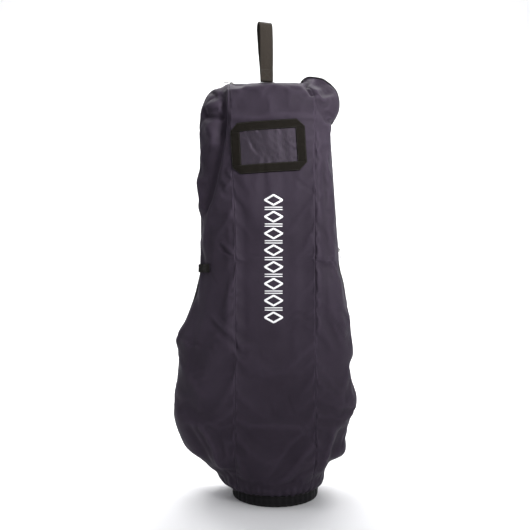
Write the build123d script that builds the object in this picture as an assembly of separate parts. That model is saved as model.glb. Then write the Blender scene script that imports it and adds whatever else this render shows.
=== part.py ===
from build123d import *

import math
import os
from collections import namedtuple

# Travel cover for a golf bag: a tall sleeve of sewn fabric panels, open at the hem, with a hood whose back
# half unzips and folds back. Millimetres: X across the front, Y from the front to the back, Z up, the floor
# at Z = 0 and the origin under the middle of the cover's box. The side seams, the strap slits and most of
# the zip run in the plane Y = 0, so one outline in X and Z drives every panel, seam, slit and zip part. The
# zip's two ends turn a corner and run level round the sides to the back, where the hood folds.

os.makedirs("parts", exist_ok=True)

# ---- Driving dimensions ----
FABRIC = 2.0  # a lined fabric wall
EDGE = 6.0  # from the plane Y = 0 to a panel's edge: half of the zip, slit or felled seam
SEWN_GAP = 0.2  # kept between sewn pieces that would else just touch along a curve

HEM_X = 30.0  # centre of the hem's ring
HEM_RADIUS = 129.0
HEM_HEIGHT = 32.0
HEM_WALL = 1.8
ELASTIC_THICK = 2.2
ELASTIC_WIDE = 25.0
APEX_X = 45.0  # above the hem, the front and back stand out most over this X

SLIT_LOW = 480.0  # the carrying strap's slits, in both sides
SLIT_HIGH = 690.0
BINDING_WIDE = 9.0
FOLD_Z = 702.0  # the hood's back half folds about a level line at this height
FOLD_GAP = 1.5
CORNER = 18.0  # radius of the zip's lower corners
CORNER_STEPS = 6
RUN_LOW = SLIT_HIGH  # between these heights the sides are straight
RUN_HIGH = 1100.0
LEFT_RUN = (-190.5, -194.0)  # X of the left side at both heights
RIGHT_RUN = (221.4, 193.5)
CROWN_Z = 1226.0  # the zip's level run over the hood

TOP_SLIDER_X = -99.0  # the two sliders at rest
SIDE_SLIDER_Z = 730.0

WEBBING = 2.2
LOOP_WIDE = 38.0
LOOP_TALL = 173.0  # from the pivot in its sewn foot
LOOP_GAP = 46.0
LOOP_FOOT = 2.6  # radius of the foot's roll of webbing
LOOP_TWIST = 10.0
LOOP_X = 5.0
LOOP_Y = -48.0

LABEL_X, LABEL_Z = 10.0, 1018.0  # middle of the card pocket on the front
LABEL_TILT = 3.5
LABEL_WIDE, LABEL_TALL = 210.0, 147.0
LABEL_WEBBING = 26.0
LABEL_CHAMFER = 22.0

TAB_LOW, TAB_HIGH = 662.0, 687.0  # the strap tab across the left slit


# A level row of the sleeve: its ends and front seams in X, its depth to the front and to the back, and the
# roundness of its left and right sides, where 2 is an ellipse and more is squarer. left_z and right_z are
# the heights of its ends where they dip below the row.
Row = namedtuple(
    "Row",
    "z left right seam_left seam_right front back round_left round_right left_z right_z",
    defaults=(None, None),
)


def run_x(run, z):
    """X of a side's straight run at a height."""
    return run[0] + (run[1] - run[0]) * (z - RUN_LOW) / (RUN_HIGH - RUN_LOW)


def run_row(z, seam_left, seam_right, front, back, round_left, round_right):
    """A row of the straight runs."""
    ends = (run_x(LEFT_RUN, z), run_x(RIGHT_RUN, z))
    return Row(z, *ends, seam_left, seam_right, front, back, round_left, round_right)


SLEEVE = [
    Row(HEM_HEIGHT, -99, 159, -70, 118, 129, 129, 2.0, 2.0),
    Row(42, -121, 169, -76, 124, 138, 136, 2.0, 2.0),
    Row(70, -146, 178, -82, 132, 145, 143, 2.0, 2.1),
    Row(105, -192, 198, -84, 138, 151, 149, 2.1, 2.3),
    Row(141, -231, 238, -84, 141, 155, 153, 2.2, 2.5),
    Row(178, -249, 240, -84, 141, 158, 156, 2.3, 2.6),
    Row(231, -267, 254, -84, 141, 160, 159, 2.4, 2.8),
    Row(300, -267, 267, -83, 141, 160, 160, 2.4, 2.9),
    Row(357, -261, 255, -83, 141, 159, 159, 2.4, 3.0),
    Row(393, -258, 248, -82, 141, 158, 158, 2.4, 3.2),
    Row(429, -258, 256, -82, 141, 157, 157, 2.4, 3.2),
    Row(SLIT_LOW, -258, 254, -82, 141, 154, 154, 2.3, 3.3),
    Row(520, -237, 251, -83, 141, 152, 152, 2.3, 3.3),
    Row(560, -221, 245, -84, 141, 150, 150, 2.3, 3.4),
    Row(625, -202, 236, -84, 141, 147, 147, 2.3, 3.5),
    run_row(SLIT_HIGH, -84, 141, 142, 142, 2.3, 3.5),
    run_row(FOLD_Z - EDGE, -84, 141, 142, 142, 2.3, 3.5),
    run_row(FOLD_Z - FOLD_GAP, -84, 141, 142, 142, 2.3, 3.5),
    run_row(FOLD_Z + FOLD_GAP, -84, 141, 142, 142, 2.3, 3.5),
    run_row(FOLD_Z + EDGE, -84, 141, 142, 142, 2.3, 3.5),
    run_row(FOLD_Z + CORNER, -84, 141, 141, 142, 2.3, 3.5),
    run_row(800, -86, 141, 139, 141, 2.3, 3.5),
    run_row(900, -91, 141, 137, 139, 2.3, 3.5),
    run_row(1000, -96, 141, 134, 136, 2.3, 3.4),
    run_row(RUN_HIGH, -100, 142, 129, 131, 2.3, 3.0),
    Row(1135, -192, 207, -102, 143, 122, 124, 2.2, 2.3, 1132, 1119),
    Row(1172, -183, 219.5, -103, 144, 112, 114, 2.1, 1.9, 1168, 1148),
    Row(1197, -172, 220, -104, 139, 98, 100, 2.0, 1.7, 1190, 1178),
    Row(1210, -161, 211, -105, 127, 75, 77, 2.0, 1.6, 1203, 1206),
]
LOW_ZIP_ROW, LOW_FOLD_ROW, HIGH_FOLD_ROW, HIGH_ZIP_ROW, CORNER_ROW = range(16, 21)

# The zip's line over the hood, from the left corner to the top of the right ear.
LEFT_CORNER = [(-152, 1209), (-142, 1212), (-133, 1214.5), (-125, 1218), (-117, 1223.5)]
CROWN_LEFT, CROWN_RIGHT, CROWN_STEPS = -108.0, 104.0, 8
RIGHT_EAR = [(114, 1237), (133, 1245.4), (167, 1241), (195, 1224)]

# Columns of the grid that the panels share.
LEFT_GUSSET_STEPS = 5
FRONT_LEFT_STEPS = 3
FRONT_RIGHT_STEPS = 5
RIGHT_GUSSET_STEPS = 4
SEAM_LEFT = LEFT_GUSSET_STEPS
SEAM_RIGHT = SEAM_LEFT + FRONT_LEFT_STEPS + FRONT_RIGHT_STEPS
LAST = SEAM_RIGHT + RIGHT_GUSSET_STEPS

# Zip, sliders and pulls.
COIL_WIDE = 3.0
COIL_HIGH = 1.4  # above and below the zip's line
COIL_GAP = 0.4  # from the plane Y = 0 to a coil
COIL_EDGE = COIL_GAP + COIL_WIDE
SLIDER_LONG = 15.0
SLIDER_WIDE = 11.0
PLATE = 1.4
CHANNEL = 0.4  # between the tape or coil and a slider's plates
PIN_RADIUS = 0.9
PIN_LIFT = 2.1  # above the slider's outer plate
EYE_RADIUS = 2.0
PULL_LONG = 27.0
PULL_WIDE = 8.0
PULL_THICK = 1.6


# ---- Solids from grids of points ----
def ring(outer, inner, height, low=0.0):
    """A plain ring about the Z axis."""
    align = (Align.CENTER, Align.CENTER, Align.MIN)
    solid = Cylinder(outer, height, align=align) - Cylinder(inner, height, align=align)
    return solid.moved(Location((0, 0, low)))


def quad(a, b, c, d):
    """Two triangles that share the diagonal from a to c."""
    return [(a, b, c), (a, c, d)]


def sheet(outer, inner):
    """A closed wall between two grids of points, as flat triangles."""
    rows = len(outer)
    columns = len(outer[0])
    triangles = []
    for j in range(rows - 1):
        for grid in (outer, inner):
            for i in range(columns - 1):
                triangles += quad(grid[j][i], grid[j][i + 1], grid[j + 1][i + 1], grid[j + 1][i])
        for i in (0, columns - 1):
            triangles += quad(outer[j][i], inner[j][i], inner[j + 1][i], outer[j + 1][i])
    for j in (0, rows - 1):
        for i in range(columns - 1):
            triangles += quad(outer[j][i], inner[j][i], inner[j][i + 1], outer[j][i + 1])
    faces = [Face(Wire.make_polygon(corners, close=True)) for corners in triangles]
    return Solid(Shell(faces))


# ---- The outline in the plane Y = 0 ----
def row_ends(row):
    """(left end, right end) of a row, each as (x, z)."""
    left_z = row.z if row.left_z is None else row.left_z
    right_z = row.z if row.right_z is None else row.right_z
    return (row.left, left_z), (row.right, right_z)


def crown():
    step = (CROWN_RIGHT - CROWN_LEFT) / CROWN_STEPS
    level = [(CROWN_LEFT + step * k, CROWN_Z) for k in range(CROWN_STEPS + 1)]
    return LEFT_CORNER + level + RIGHT_EAR


CROWN = crown()
LEFT_SIDE = [row_ends(row)[0] for row in SLEEVE]
RIGHT_SIDE = [row_ends(row)[1] for row in SLEEVE]
OUTLINE = LEFT_SIDE + CROWN + RIGHT_SIDE[::-1]


def outward(path, k):
    """The miter at point k of a clockwise path: moved along it, every point keeps a ribbon's width."""
    before = path[max(k - 1, 0)]
    here = path[k]
    after = path[min(k + 1, len(path) - 1)]
    normals = []
    for a, b in ((before, here), (here, after)):
        length = math.dist(a, b)
        if length > 0:
            normals.append(((a[1] - b[1]) / length, (b[0] - a[0]) / length))
    x = sum(normal[0] for normal in normals) / len(normals)
    z = sum(normal[1] for normal in normals) / len(normals)
    size = x * x + z * z
    return x / size, z / size


def ribbon(path, low, high, y_from, y_to):
    """A strip along a clockwise path in X and Z: low to high outward of it, and from y_from to y_to."""
    near = []
    far = []
    for k, (x, z) in enumerate(path):
        out_x, out_z = outward(path, k)
        near.append((x + out_x * low, y_from, z + out_z * low))
        far.append((x + out_x * high, y_from, z + out_z * high))
    face = Face(Wire.make_polygon(near + far[::-1], close=True))
    return extrude(face, y_to - y_from, (0, 1, 0))


def strip(frames, near, far, low, high):
    """A strip along frames of (point, outward, sideways): near to far sideways, low to high outward."""
    grids = []
    for lift in (high, low):
        grids.append([[p + out * lift + side * reach for p, out, side in frames] for reach in (near, far)])
    return sheet(*grids)


def rising(side, z_low, z_high):
    """The part of a side of the outline between two heights, from the lowest point up."""
    found = [point for point in side if z_low <= point[1] <= z_high]
    for (xa, za), (xb, zb) in zip(side, side[1:]):
        for z in (z_low, z_high):
            if za < z < zb:
                found.append((xa + (xb - xa) * (z - za) / (zb - za), z))
    return sorted(found, key=lambda point: point[1])


# ---- The sleeve's surface ----
def apex_of(row):
    """The apex moves from over the hem's centre to its own place in the lowest 200 mm."""
    return HEM_X + (APEX_X - HEM_X) * min(1, (row.z - HEM_HEIGHT) / 200)


def seam_angle(reach, seam_reach, roundness):
    return math.acos((seam_reach / reach) ** (roundness / 2))


def column_angles(row):
    """(side, angle) of each column: side -1 is left of the apex and 1 is right of it."""
    apex = apex_of(row)
    quarter = math.pi / 2
    left = seam_angle(apex - row.left, apex - row.seam_left, row.round_left)
    right = seam_angle(row.right - apex, row.seam_right - apex, row.round_right)
    columns = [(-1, left * k / LEFT_GUSSET_STEPS) for k in range(LEFT_GUSSET_STEPS)]
    columns += [(-1, left + (quarter - left) * k / FRONT_LEFT_STEPS) for k in range(FRONT_LEFT_STEPS)]
    columns += [(1, quarter + (right - quarter) * k / FRONT_RIGHT_STEPS) for k in range(FRONT_RIGHT_STEPS)]
    columns += [(1, right * (1 - k / RIGHT_GUSSET_STEPS)) for k in range(RIGHT_GUSSET_STEPS + 1)]
    return columns


def section_point(row, side, angle, front):
    """A point of a row: the angle runs from 0 at the row's end to a quarter turn at the apex."""
    end_x, end_z = row_ends(row)[0 if side < 0 else 1]
    roundness = row.round_left if side < 0 else row.round_right
    depth = row.front if front else row.back
    apex = apex_of(row)
    x = apex + (end_x - apex) * math.cos(angle) ** (2 / roundness)
    y = EDGE + (depth - EDGE) * math.sin(angle) ** (2 / roundness)
    z = row.z + (end_z - row.z) * math.cos(angle) ** 2
    return Vector(x, -y if front else y, z)


def outline_index(j, i):
    """The outline's point that a grid point on the edge Y = EDGE lies beside."""
    if j == len(SLEEVE):
        return j + i
    return j if i == 0 else len(OUTLINE) - 1 - j


def half(front):
    """(outer, inner) grids of the front or back half; the last row is the zip's line over the hood."""
    edge = -EDGE if front else EDGE
    outer = [[section_point(row, *column, front) for column in column_angles(row)] for row in SLEEVE]
    outer.append([Vector(x, edge, z) for x, z in CROWN])
    inner = []
    for j, points in enumerate(outer):
        line = []
        for i, point in enumerate(points):
            if i in (0, LAST) or j == len(SLEEVE):
                out_x, out_z = outward(OUTLINE, outline_index(j, i))
                line.append(point - Vector(out_x, 0, out_z) * FABRIC)
                continue
            across = points[i + 1] - points[i - 1]
            up = outer[j + 1][i] - outer[max(j - 1, 0)][i]
            normal = across.cross(up) if front else up.cross(across)
            if j == 0:
                normal = Vector(normal.X, normal.Y, 0)
            line.append(point - normal.normalized() * FABRIC)
        inner.append(line)
    return outer, inner


def panel(grids, columns, rows):
    """One sewn panel: a block of the columns and rows of a half."""
    blocks = []
    for grid in grids:
        blocks.append([line[columns[0] : columns[1] + 1] for line in grid[rows[0] : rows[1] + 1]])
    return sheet(*blocks)


def make_panels():
    front = half(True)
    back = half(False)
    left = (0, SEAM_LEFT)
    middle = (SEAM_LEFT, SEAM_RIGHT)
    right = (SEAM_RIGHT, LAST)
    whole = (0, len(SLEEVE))
    under_zip = (0, LOW_ZIP_ROW)
    over_zip = (HIGH_ZIP_ROW, len(SLEEVE))
    corner = corner_cut()
    return {
        "front_panel": panel(front, middle, whole),
        "left_front_gusset": panel(front, left, whole),
        "right_front_gusset": panel(front, right, whole),
        "lower_back_panel": panel(back, middle, (0, LOW_FOLD_ROW)),
        "left_back_gusset": panel(back, left, under_zip),
        "right_back_gusset": panel(back, right, under_zip),
        "hood_back_panel": panel(back, middle, (HIGH_FOLD_ROW, len(SLEEVE))),
        "hood_left_gusset": panel(back, left, over_zip) - corner,
        "hood_right_gusset": panel(back, right, over_zip) - corner,
    }


def corner_cut():
    """What the zip's lower corners take off the hood's gussets."""
    inner = CORNER - EDGE
    low = (0, FOLD_Z)
    high = (CORNER, FOLD_Z + CORNER)
    middle = (high[0] - inner * math.cos(math.pi / 4), high[1] - inner * math.sin(math.pi / 4))
    edge = [
        Line(low, (low[0], high[1])),
        Line((low[0], high[1]), (high[0] - inner, high[1])),
        ThreePointArc((high[0] - inner, high[1]), middle, (high[0], high[1] - inner)),
        Line((high[0], high[1] - inner), (high[0], low[1])),
        Line((high[0], low[1]), low),
    ]
    across = Plane(origin=(0, 0, 0), x_dir=(0, 1, 0), z_dir=(1, 0, 0))
    return extrude(across.location * Face(Wire(edge)), 300, both=True)


# ---- Hem: a channel of folded webbing with the elastic in it ----
def make_hem():
    channel = ELASTIC_THICK + 0.2
    inner = HEM_RADIUS - 2 * HEM_WALL - channel
    casing = ring(HEM_RADIUS, inner, HEM_HEIGHT)
    casing -= ring(HEM_RADIUS - HEM_WALL, inner + HEM_WALL, HEM_HEIGHT, HEM_WALL)
    elastic_radius = inner + HEM_WALL + 0.1
    elastic = ring(elastic_radius + ELASTIC_THICK, elastic_radius, ELASTIC_WIDE, HEM_WALL + 0.5)
    centre = Location((HEM_X, 0, 0))
    return {"hem_casing": casing.moved(centre), "hem_elastic": elastic.moved(centre)}


# ---- Side seams, the slits' bindings, the patches over the slits and the right ear's binding ----
def corner_patch(run):
    """Fills the side between a slit's top and the zip's corner."""
    outer = CORNER + EDGE + 2 * SEWN_GAP
    reach = EDGE - SEWN_GAP
    low = FOLD_Z - reach
    outline = [(-reach, SLIT_HIGH), (reach, SLIT_HIGH), (reach, low)]
    for k in range(CORNER_STEPS, -1, -1):
        angle = math.radians(90 * k / CORNER_STEPS)
        y = CORNER - outer * math.cos(angle)
        z = FOLD_Z + CORNER - outer * math.sin(angle)
        outline.append((max(y, -reach), max(z, low)))
    face = Face(Wire.make_polygon([(run_x(run, z), y, z) for y, z in outline], close=True))
    return extrude(face, FABRIC, (-math.copysign(1, run[0]), 0, 0))


def make_edges():
    made = {}
    for name, side, run in (("left", LEFT_SIDE, LEFT_RUN), ("right", RIGHT_SIDE, RIGHT_RUN)):
        seam = rising(side, HEM_HEIGHT, SLIT_LOW)
        slit = rising(side, SLIT_LOW, SLIT_HIGH)
        if name == "right":
            seam, slit = seam[::-1], slit[::-1]
        lips = []
        for sign in (-1, 1):
            y_from, y_to = sorted((sign * (EDGE - 0.5), sign * (EDGE + BINDING_WIDE)))
            lips.append(ribbon(slit, 0.2, 1.6, y_from, y_to))
        made[f"{name}_side_seam"] = ribbon(seam, -FABRIC, 0, -EDGE, EDGE)
        made[f"{name}_slit_bindings"] = Compound(children=lips)
        made[f"{name}_slit_patch"] = corner_patch(run)
    ear = OUTLINE[OUTLINE.index((CROWN_RIGHT, CROWN_Z)) : OUTLINE.index(RIGHT_SIDE[-5]) + 1]
    made["ear_binding"] = ribbon(ear, 0.2, 2.6, -EDGE - 2.5, -EDGE - 0.2)
    return made


# ---- Zip ----
def level_frame(side, angle):
    """A frame of the chain's level run: the angle is the section's, from 0 at the side's end."""
    row = SLEEVE[CORNER_ROW]._replace(z=FOLD_Z, left=run_x(LEFT_RUN, FOLD_Z), right=run_x(RIGHT_RUN, FOLD_Z))
    before = section_point(row, side, angle - 0.01, False)
    after = section_point(row, side, angle + 0.01, False)
    out = Vector(after.Y - before.Y, before.X - after.X, 0).normalized()
    if out.X * side < 0:
        out = -out
    return section_point(row, side, angle, False), out, Vector(0, 0, -1)


def lower_frames(side):
    """The chain's frames from its end at the back seam to the top of its lower corner."""
    row = SLEEVE[CORNER_ROW]
    apex = apex_of(row)
    end, roundness, seam = (
        (row.left, row.round_left, row.seam_left) if side < 0 else (row.right, row.round_right, row.seam_right)
    )
    seam_end = seam_angle(abs(end - apex), abs(seam - apex), roundness)
    corner_end = math.asin(((CORNER - EDGE) / (row.back - EDGE)) ** (roundness / 2))
    frames = [level_frame(side, seam_end + (corner_end - seam_end) * k / 6) for k in range(7)]
    run = LEFT_RUN if side < 0 else RIGHT_RUN
    shift = frames[-1][0].X - run_x(run, FOLD_Z)
    for k in range(1, CORNER_STEPS):
        angle = math.radians(90 * (1 - k / CORNER_STEPS))
        y = CORNER * (1 - math.cos(angle))
        z = FOLD_Z + CORNER * (1 - math.sin(angle))
        x = run_x(run, z) + shift * (y / CORNER) ** 2
        frames.append((Vector(x, y, z), Vector(side, 0, 0), Vector(0, -math.cos(angle), -math.sin(angle))))
    return frames


def chain_frames():
    """(point, outward, sideways) all along the chain; sideways is towards the cover, away from the hood."""
    left = rising(LEFT_SIDE, FOLD_Z + CORNER, CROWN_Z)
    right = rising(RIGHT_SIDE, FOLD_Z + CORNER, CROWN_Z)[::-1]
    path = left + CROWN + right
    upper = []
    for k, (x, z) in enumerate(path):
        out_x, out_z = outward(path, k)
        upper.append((Vector(x, 0, z), Vector(out_x, 0, out_z), Vector(0, -1, 0)))
    return lower_frames(-1) + upper + lower_frames(1)[::-1]


def end_frames(first, second, long):
    """The stretch of a chain's first step that is so long."""
    share = long / (second[0] - first[0]).length
    return [first, (first[0] + (second[0] - first[0]) * share, first[1], first[2])]


def make_zip():
    chain = chain_frames()
    stops = [end_frames(chain[0], chain[1], 4), end_frames(chain[-1], chain[-2], 4)]
    stop_solids = [strip(frames, COIL_GAP, COIL_EDGE, COIL_HIGH, COIL_HIGH + 1.2) for frames in stops]
    return {
        "zip_tape_front": strip(chain, COIL_EDGE + 0.05, EDGE, -FABRIC, 0),
        "zip_tape_back": strip(chain, -EDGE, -COIL_EDGE - 0.05, -FABRIC, 0),
        "zip_coil_front": strip(chain, COIL_GAP, COIL_EDGE, -COIL_HIGH, COIL_HIGH),
        "zip_coil_back": strip(chain, -COIL_EDGE, -COIL_GAP, -COIL_HIGH, COIL_HIGH),
        "zip_end_stops": Compound(children=stop_solids),
    }


def plate(long, wide, thick, low, corner):
    """A flat plate with rounded corners, its underside at the height low."""
    solid = Box(long, wide, thick, align=(Align.CENTER, Align.CENTER, Align.MIN))
    solid = fillet(solid.edges().filter_by(Axis.Z), corner)
    return solid.moved(Location((0, 0, low)))


def slider():
    """A slider on a chain along X that closes towards +X; the cover's outside is towards +Z."""
    top = COIL_HIGH + CHANNEL
    low = -FABRIC - CHANNEL - PLATE
    pin_z = top + PLATE + PIN_LIFT
    body = plate(SLIDER_LONG, SLIDER_WIDE, PLATE, top, 3) + plate(SLIDER_LONG, SLIDER_WIDE, PLATE, low, 3)
    web = Box(4, 0.5, top - low, align=(Align.CENTER, Align.CENTER, Align.MIN))
    body += web.moved(Location((3 - SLIDER_LONG / 2, 0, low)))
    flange = Box(SLIDER_LONG - 6, 1.0, top, align=(Align.CENTER, Align.CENTER, Align.MIN))
    cheek = Box(3.2, 1.1, PIN_LIFT + 0.9, align=(Align.CENTER, Align.CENTER, Align.MIN))
    for side in (-1, 1):
        body += flange.moved(Location((0, side * (SLIDER_WIDE - 1.0) / 2, 0.3)))
        body += cheek.moved(Location((0, side * 3.3, top + PLATE - 0.1)))
    body += Cylinder(PIN_RADIUS, 6.4, rotation=(90, 0, 0)).moved(Location((0, 0, pin_z)))
    return body, pin_z


def pull(pin_z):
    """The pull on a slider's pin, lying along -X, with a window in its grip."""
    grip = PULL_LONG - 7
    body = Cylinder(EYE_RADIUS, 5.0, rotation=(90, 0, 0))
    body += Box(6, 4, PULL_THICK).moved(Location((-4.4, 0, 0.2)))
    body += plate(grip, PULL_WIDE, PULL_THICK, 0, 2.5).moved(Location((-7 - grip / 2, 0, 0.2 - PULL_THICK / 2)))
    body -= Cylinder(PIN_RADIUS + 0.08, 7, rotation=(90, 0, 0))
    body -= Box(grip - 9, PULL_WIDE - 4.5, 5).moved(Location((-7 - grip / 2, 0, 0)))
    return body.moved(Location((0, 0, pin_z)))


def make_sliders():
    body, pin_z = slider()
    tag = pull(pin_z)
    slope = (RIGHT_RUN[1] - RIGHT_RUN[0]) / (RUN_HIGH - RUN_LOW)
    up = Vector(slope, 0, 1).normalized()
    out = Vector(1, 0, -slope).normalized()
    side_origin = (run_x(RIGHT_RUN, SIDE_SLIDER_Z), 0, SIDE_SLIDER_Z)
    places = {
        "top": Plane(origin=(TOP_SLIDER_X, 0, CROWN_Z), x_dir=(1, 0, 0), z_dir=(0, 0, 1)),
        "side": Plane(origin=side_origin, x_dir=up, z_dir=out),
    }
    made = {}
    for name, place in places.items():
        pin = place.origin + place.z_dir * pin_z
        print(f"{name} slider: pin {tuple(pin)}, slides along {tuple(place.x_dir)}")
        made[f"{name}_slider"] = place.location * body
        made[f"{name}_slider_pull"] = place.location * tag
    return made


# ---- Card pocket on the front ----
def section_y(row, x):
    end, roundness = (row.left, row.round_left) if x < apex_of(row) else (row.right, row.round_right)
    share = abs((x - apex_of(row)) / (end - apex_of(row)))
    return -(EDGE + (row.front - EDGE) * (1 - share**roundness) ** (1 / roundness))


def front_y(x, z):
    """Y of the front's outer surface at a height where the rows are level."""
    low, high = next(pair for pair in zip(SLEEVE, SLEEVE[1:]) if pair[0].z <= z <= pair[1].z)
    share = (z - low.z) / (high.z - low.z)
    return section_y(low, x) * (1 - share) + section_y(high, x) * share


def pocket_point(across, up, lift):
    """A point of the card pocket's tilted rectangle, lift outside the front panel."""
    turn = math.radians(LABEL_TILT)
    x = LABEL_X + across * math.cos(turn) - up * math.sin(turn)
    z = LABEL_Z + across * math.sin(turn) + up * math.cos(turn)
    slope_x = front_y(x + 0.5, z) - front_y(x - 0.5, z)
    slope_z = front_y(x, z + 0.5) - front_y(x, z - 0.5)
    return Vector(x, front_y(x, z), z) + Vector(slope_x, -1, slope_z).normalized() * lift


def pocket_piece(stations, low_lift, high_lift, rows=1):
    """A patch through stations of (across, lowest, highest), between two lifts off the panel."""
    grids = []
    for lift in (high_lift, low_lift):
        grid = []
        for j in range(rows + 1):
            share = j / rows
            grid.append([pocket_point(a, low + (high - low) * share, lift) for a, low, high in stations])
        grids.append(grid)
    return sheet(*grids)


def spread(low, high, steps):
    return [low + (high - low) * k / steps for k in range(steps + 1)]


def make_label():
    wide = LABEL_WIDE / 2
    tall = LABEL_TALL / 2
    hole_wide = wide - LABEL_WEBBING
    hole_tall = tall - LABEL_WEBBING
    corner = tall - LABEL_CHAMFER
    straight = spread(LABEL_CHAMFER - wide, wide - LABEL_CHAMFER, 7)
    joint = hole_tall + 0.1  # the posts end just short of the top and bottom strips
    top = [(-wide, joint, corner)] + [(a, joint, tall) for a in straight] + [(wide, joint, corner)]
    bottom = [(a, -high, -low) for a, low, high in top]
    left = [(-wide, -hole_tall, hole_tall), (-hole_wide, -hole_tall, hole_tall)]
    right = [(-a, low, high) for a, low, high in left[::-1]]
    window = [(a, -hole_tall - 8, hole_tall + 8) for a in spread(-hole_wide - 8, hole_wide + 8, 8)]
    frame = (1.9, 3.5)  # over the edge of the clear window
    return {
        "label_frame_top": pocket_piece(top, *frame),
        "label_frame_bottom": pocket_piece(bottom, *frame),
        "label_frame_left": pocket_piece(left, *frame, rows=4),
        "label_frame_right": pocket_piece(right, *frame, rows=4),
        "label_window": pocket_piece(window, 0.9, 1.6, rows=6),
    }


# ---- Carrying loop ----
def loop_outline(inset):
    """The loop in Y and Z above its pivot, inset by some of the webbing's thickness."""
    reach = LOOP_GAP / 2 - inset
    foot = LOOP_FOOT - inset
    low = 14.0 + inset
    top = LOOP_TALL - inset - reach
    return [
        Bezier((-foot, low), (-foot - 2, low + 45), (-reach, top - 80), (-reach, top)),
        ThreePointArc((-reach, top), (0, top + reach), (reach, top)),
        Bezier((reach, top), (reach, top - 80), (foot + 2, low + 45), (foot, low)),
        Line((foot, low), (-foot, low)),
    ]


def make_loop():
    last = SLEEVE[-1]
    slope = (CROWN_Z - last.z) / (last.front - EDGE)
    fabric_z = CROWN_Z + slope * (LOOP_Y + EDGE)
    tilt = math.degrees(math.atan(slope))
    pivot_z = fabric_z + 2.2 + LOOP_FOOT
    band = Face(Wire(loop_outline(0))) - Face(Wire(loop_outline(WEBBING)))
    band += Pos(0, 7.5) * Rectangle(2 * LOOP_FOOT, 15)
    band += Circle(LOOP_FOOT)
    upright = Plane(origin=(0, 0, 0), x_dir=(0, 1, 0), z_dir=(1, 0, 0))
    loop = extrude(upright.location * band, LOOP_WIDE / 2, both=True)
    patch = Box(46, 26, 1.0)
    print("loop's pivot", (LOOP_X, LOOP_Y, pivot_z))
    return {
        "carry_loop": loop.moved(Location((LOOP_X, LOOP_Y, pivot_z), (0, 0, LOOP_TWIST))),
        "loop_base_patch": patch.moved(Location((LOOP_X, LOOP_Y, fabric_z + 0.8), (tilt, 0, LOOP_TWIST))),
    }


# ---- Strap tab across the left slit ----
TAB_SECTION = next(row for row in SLEEVE if row.z == SLIT_HIGH)._replace(left=-196.0)
TAB_PIVOT = 20.0  # degrees behind the slit
TAB_LIFT = 3.9  # from the fabric to the middle of the tab


def side_point(degrees, lift):
    """(x, y) on the left side under the tab: degrees are negative in front of the slit."""
    angle = math.radians(abs(degrees))
    step = math.radians(0.5)
    here, ahead = (section_point(TAB_SECTION, -1, a, degrees < 0) for a in (angle, angle + step))
    along = (ahead - here).normalized()
    out = Vector(-abs(along.Y), math.copysign(along.X, degrees), 0)
    return here.X + out.X * lift, here.Y + out.Y * lift


def tab_piece(degrees, low, high, z_low, z_high):
    near = [side_point(a, low) for a in degrees]
    far = [side_point(a, high) for a in degrees[::-1]]
    face = Face(Wire.make_polygon([(x, y, z_low) for x, y in near + far], close=True))
    return extrude(face, z_high - z_low, (0, 0, 1))


def make_tab():
    half_thick = WEBBING / 2
    pivot = side_point(TAB_PIVOT, TAB_LIFT)
    reach = [-27, -22, -17, -12, -7, -2, 2, 7, 12, 16, TAB_PIVOT]
    band = tab_piece(reach, TAB_LIFT - half_thick, TAB_LIFT + half_thick, TAB_LOW, TAB_HIGH)
    roll = Cylinder(half_thick, TAB_HIGH - TAB_LOW, align=(Align.CENTER, Align.CENTER, Align.MIN))
    band += roll.moved(Location((*pivot, TAB_LOW)))
    print("tab's pivot", pivot)
    return {
        "strap_tab": band,
        "strap_tab_hooks": tab_piece(reach[:3], 1.7, TAB_LIFT - half_thick, TAB_LOW + 2, TAB_HIGH - 2),
        "strap_tab_loops": tab_piece(reach[:3], 0.3, 1.4, TAB_LOW + 2, TAB_HIGH - 2),
        "strap_tab_anchor": tab_piece([TAB_PIVOT + 1, 25, 29], 0.4, 5.0, TAB_LOW, TAB_HIGH),
    }


def main():
    parts = {}
    for make in (make_panels, make_hem, make_edges, make_zip, make_sliders, make_label, make_loop, make_tab):
        parts.update(make())
    for name, shape in parts.items():
        export_step(shape, f"parts/{name}.step")
    print(len(parts), "parts")


main()
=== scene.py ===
import math

import bpy
import numpy as np
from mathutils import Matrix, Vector, noise
from mathutils.bvhtree import BVHTree


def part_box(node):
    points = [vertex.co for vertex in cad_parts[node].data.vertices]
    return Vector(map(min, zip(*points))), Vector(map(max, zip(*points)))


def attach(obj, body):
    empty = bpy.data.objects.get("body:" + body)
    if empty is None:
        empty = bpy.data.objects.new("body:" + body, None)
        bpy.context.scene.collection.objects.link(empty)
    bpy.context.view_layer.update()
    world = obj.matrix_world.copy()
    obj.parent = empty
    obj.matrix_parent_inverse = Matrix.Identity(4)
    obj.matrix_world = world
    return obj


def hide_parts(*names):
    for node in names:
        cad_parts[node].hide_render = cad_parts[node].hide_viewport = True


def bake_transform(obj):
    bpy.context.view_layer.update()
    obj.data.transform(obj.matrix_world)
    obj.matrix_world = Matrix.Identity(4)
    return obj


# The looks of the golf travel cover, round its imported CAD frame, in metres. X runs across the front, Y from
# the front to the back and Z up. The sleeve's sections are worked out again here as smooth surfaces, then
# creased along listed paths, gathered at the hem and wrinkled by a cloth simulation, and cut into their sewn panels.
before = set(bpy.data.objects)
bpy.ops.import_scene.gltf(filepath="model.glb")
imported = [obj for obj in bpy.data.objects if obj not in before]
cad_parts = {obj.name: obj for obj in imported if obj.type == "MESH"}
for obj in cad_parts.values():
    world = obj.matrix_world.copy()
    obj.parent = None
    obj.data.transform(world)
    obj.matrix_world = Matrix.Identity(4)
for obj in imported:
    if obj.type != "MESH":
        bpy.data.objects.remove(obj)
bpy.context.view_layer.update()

MM = 0.001
EDGE = 6 * MM  # from the plane Y = 0 to a panel's edge
FABRIC = 1.5 * MM  # a lined fabric wall
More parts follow.
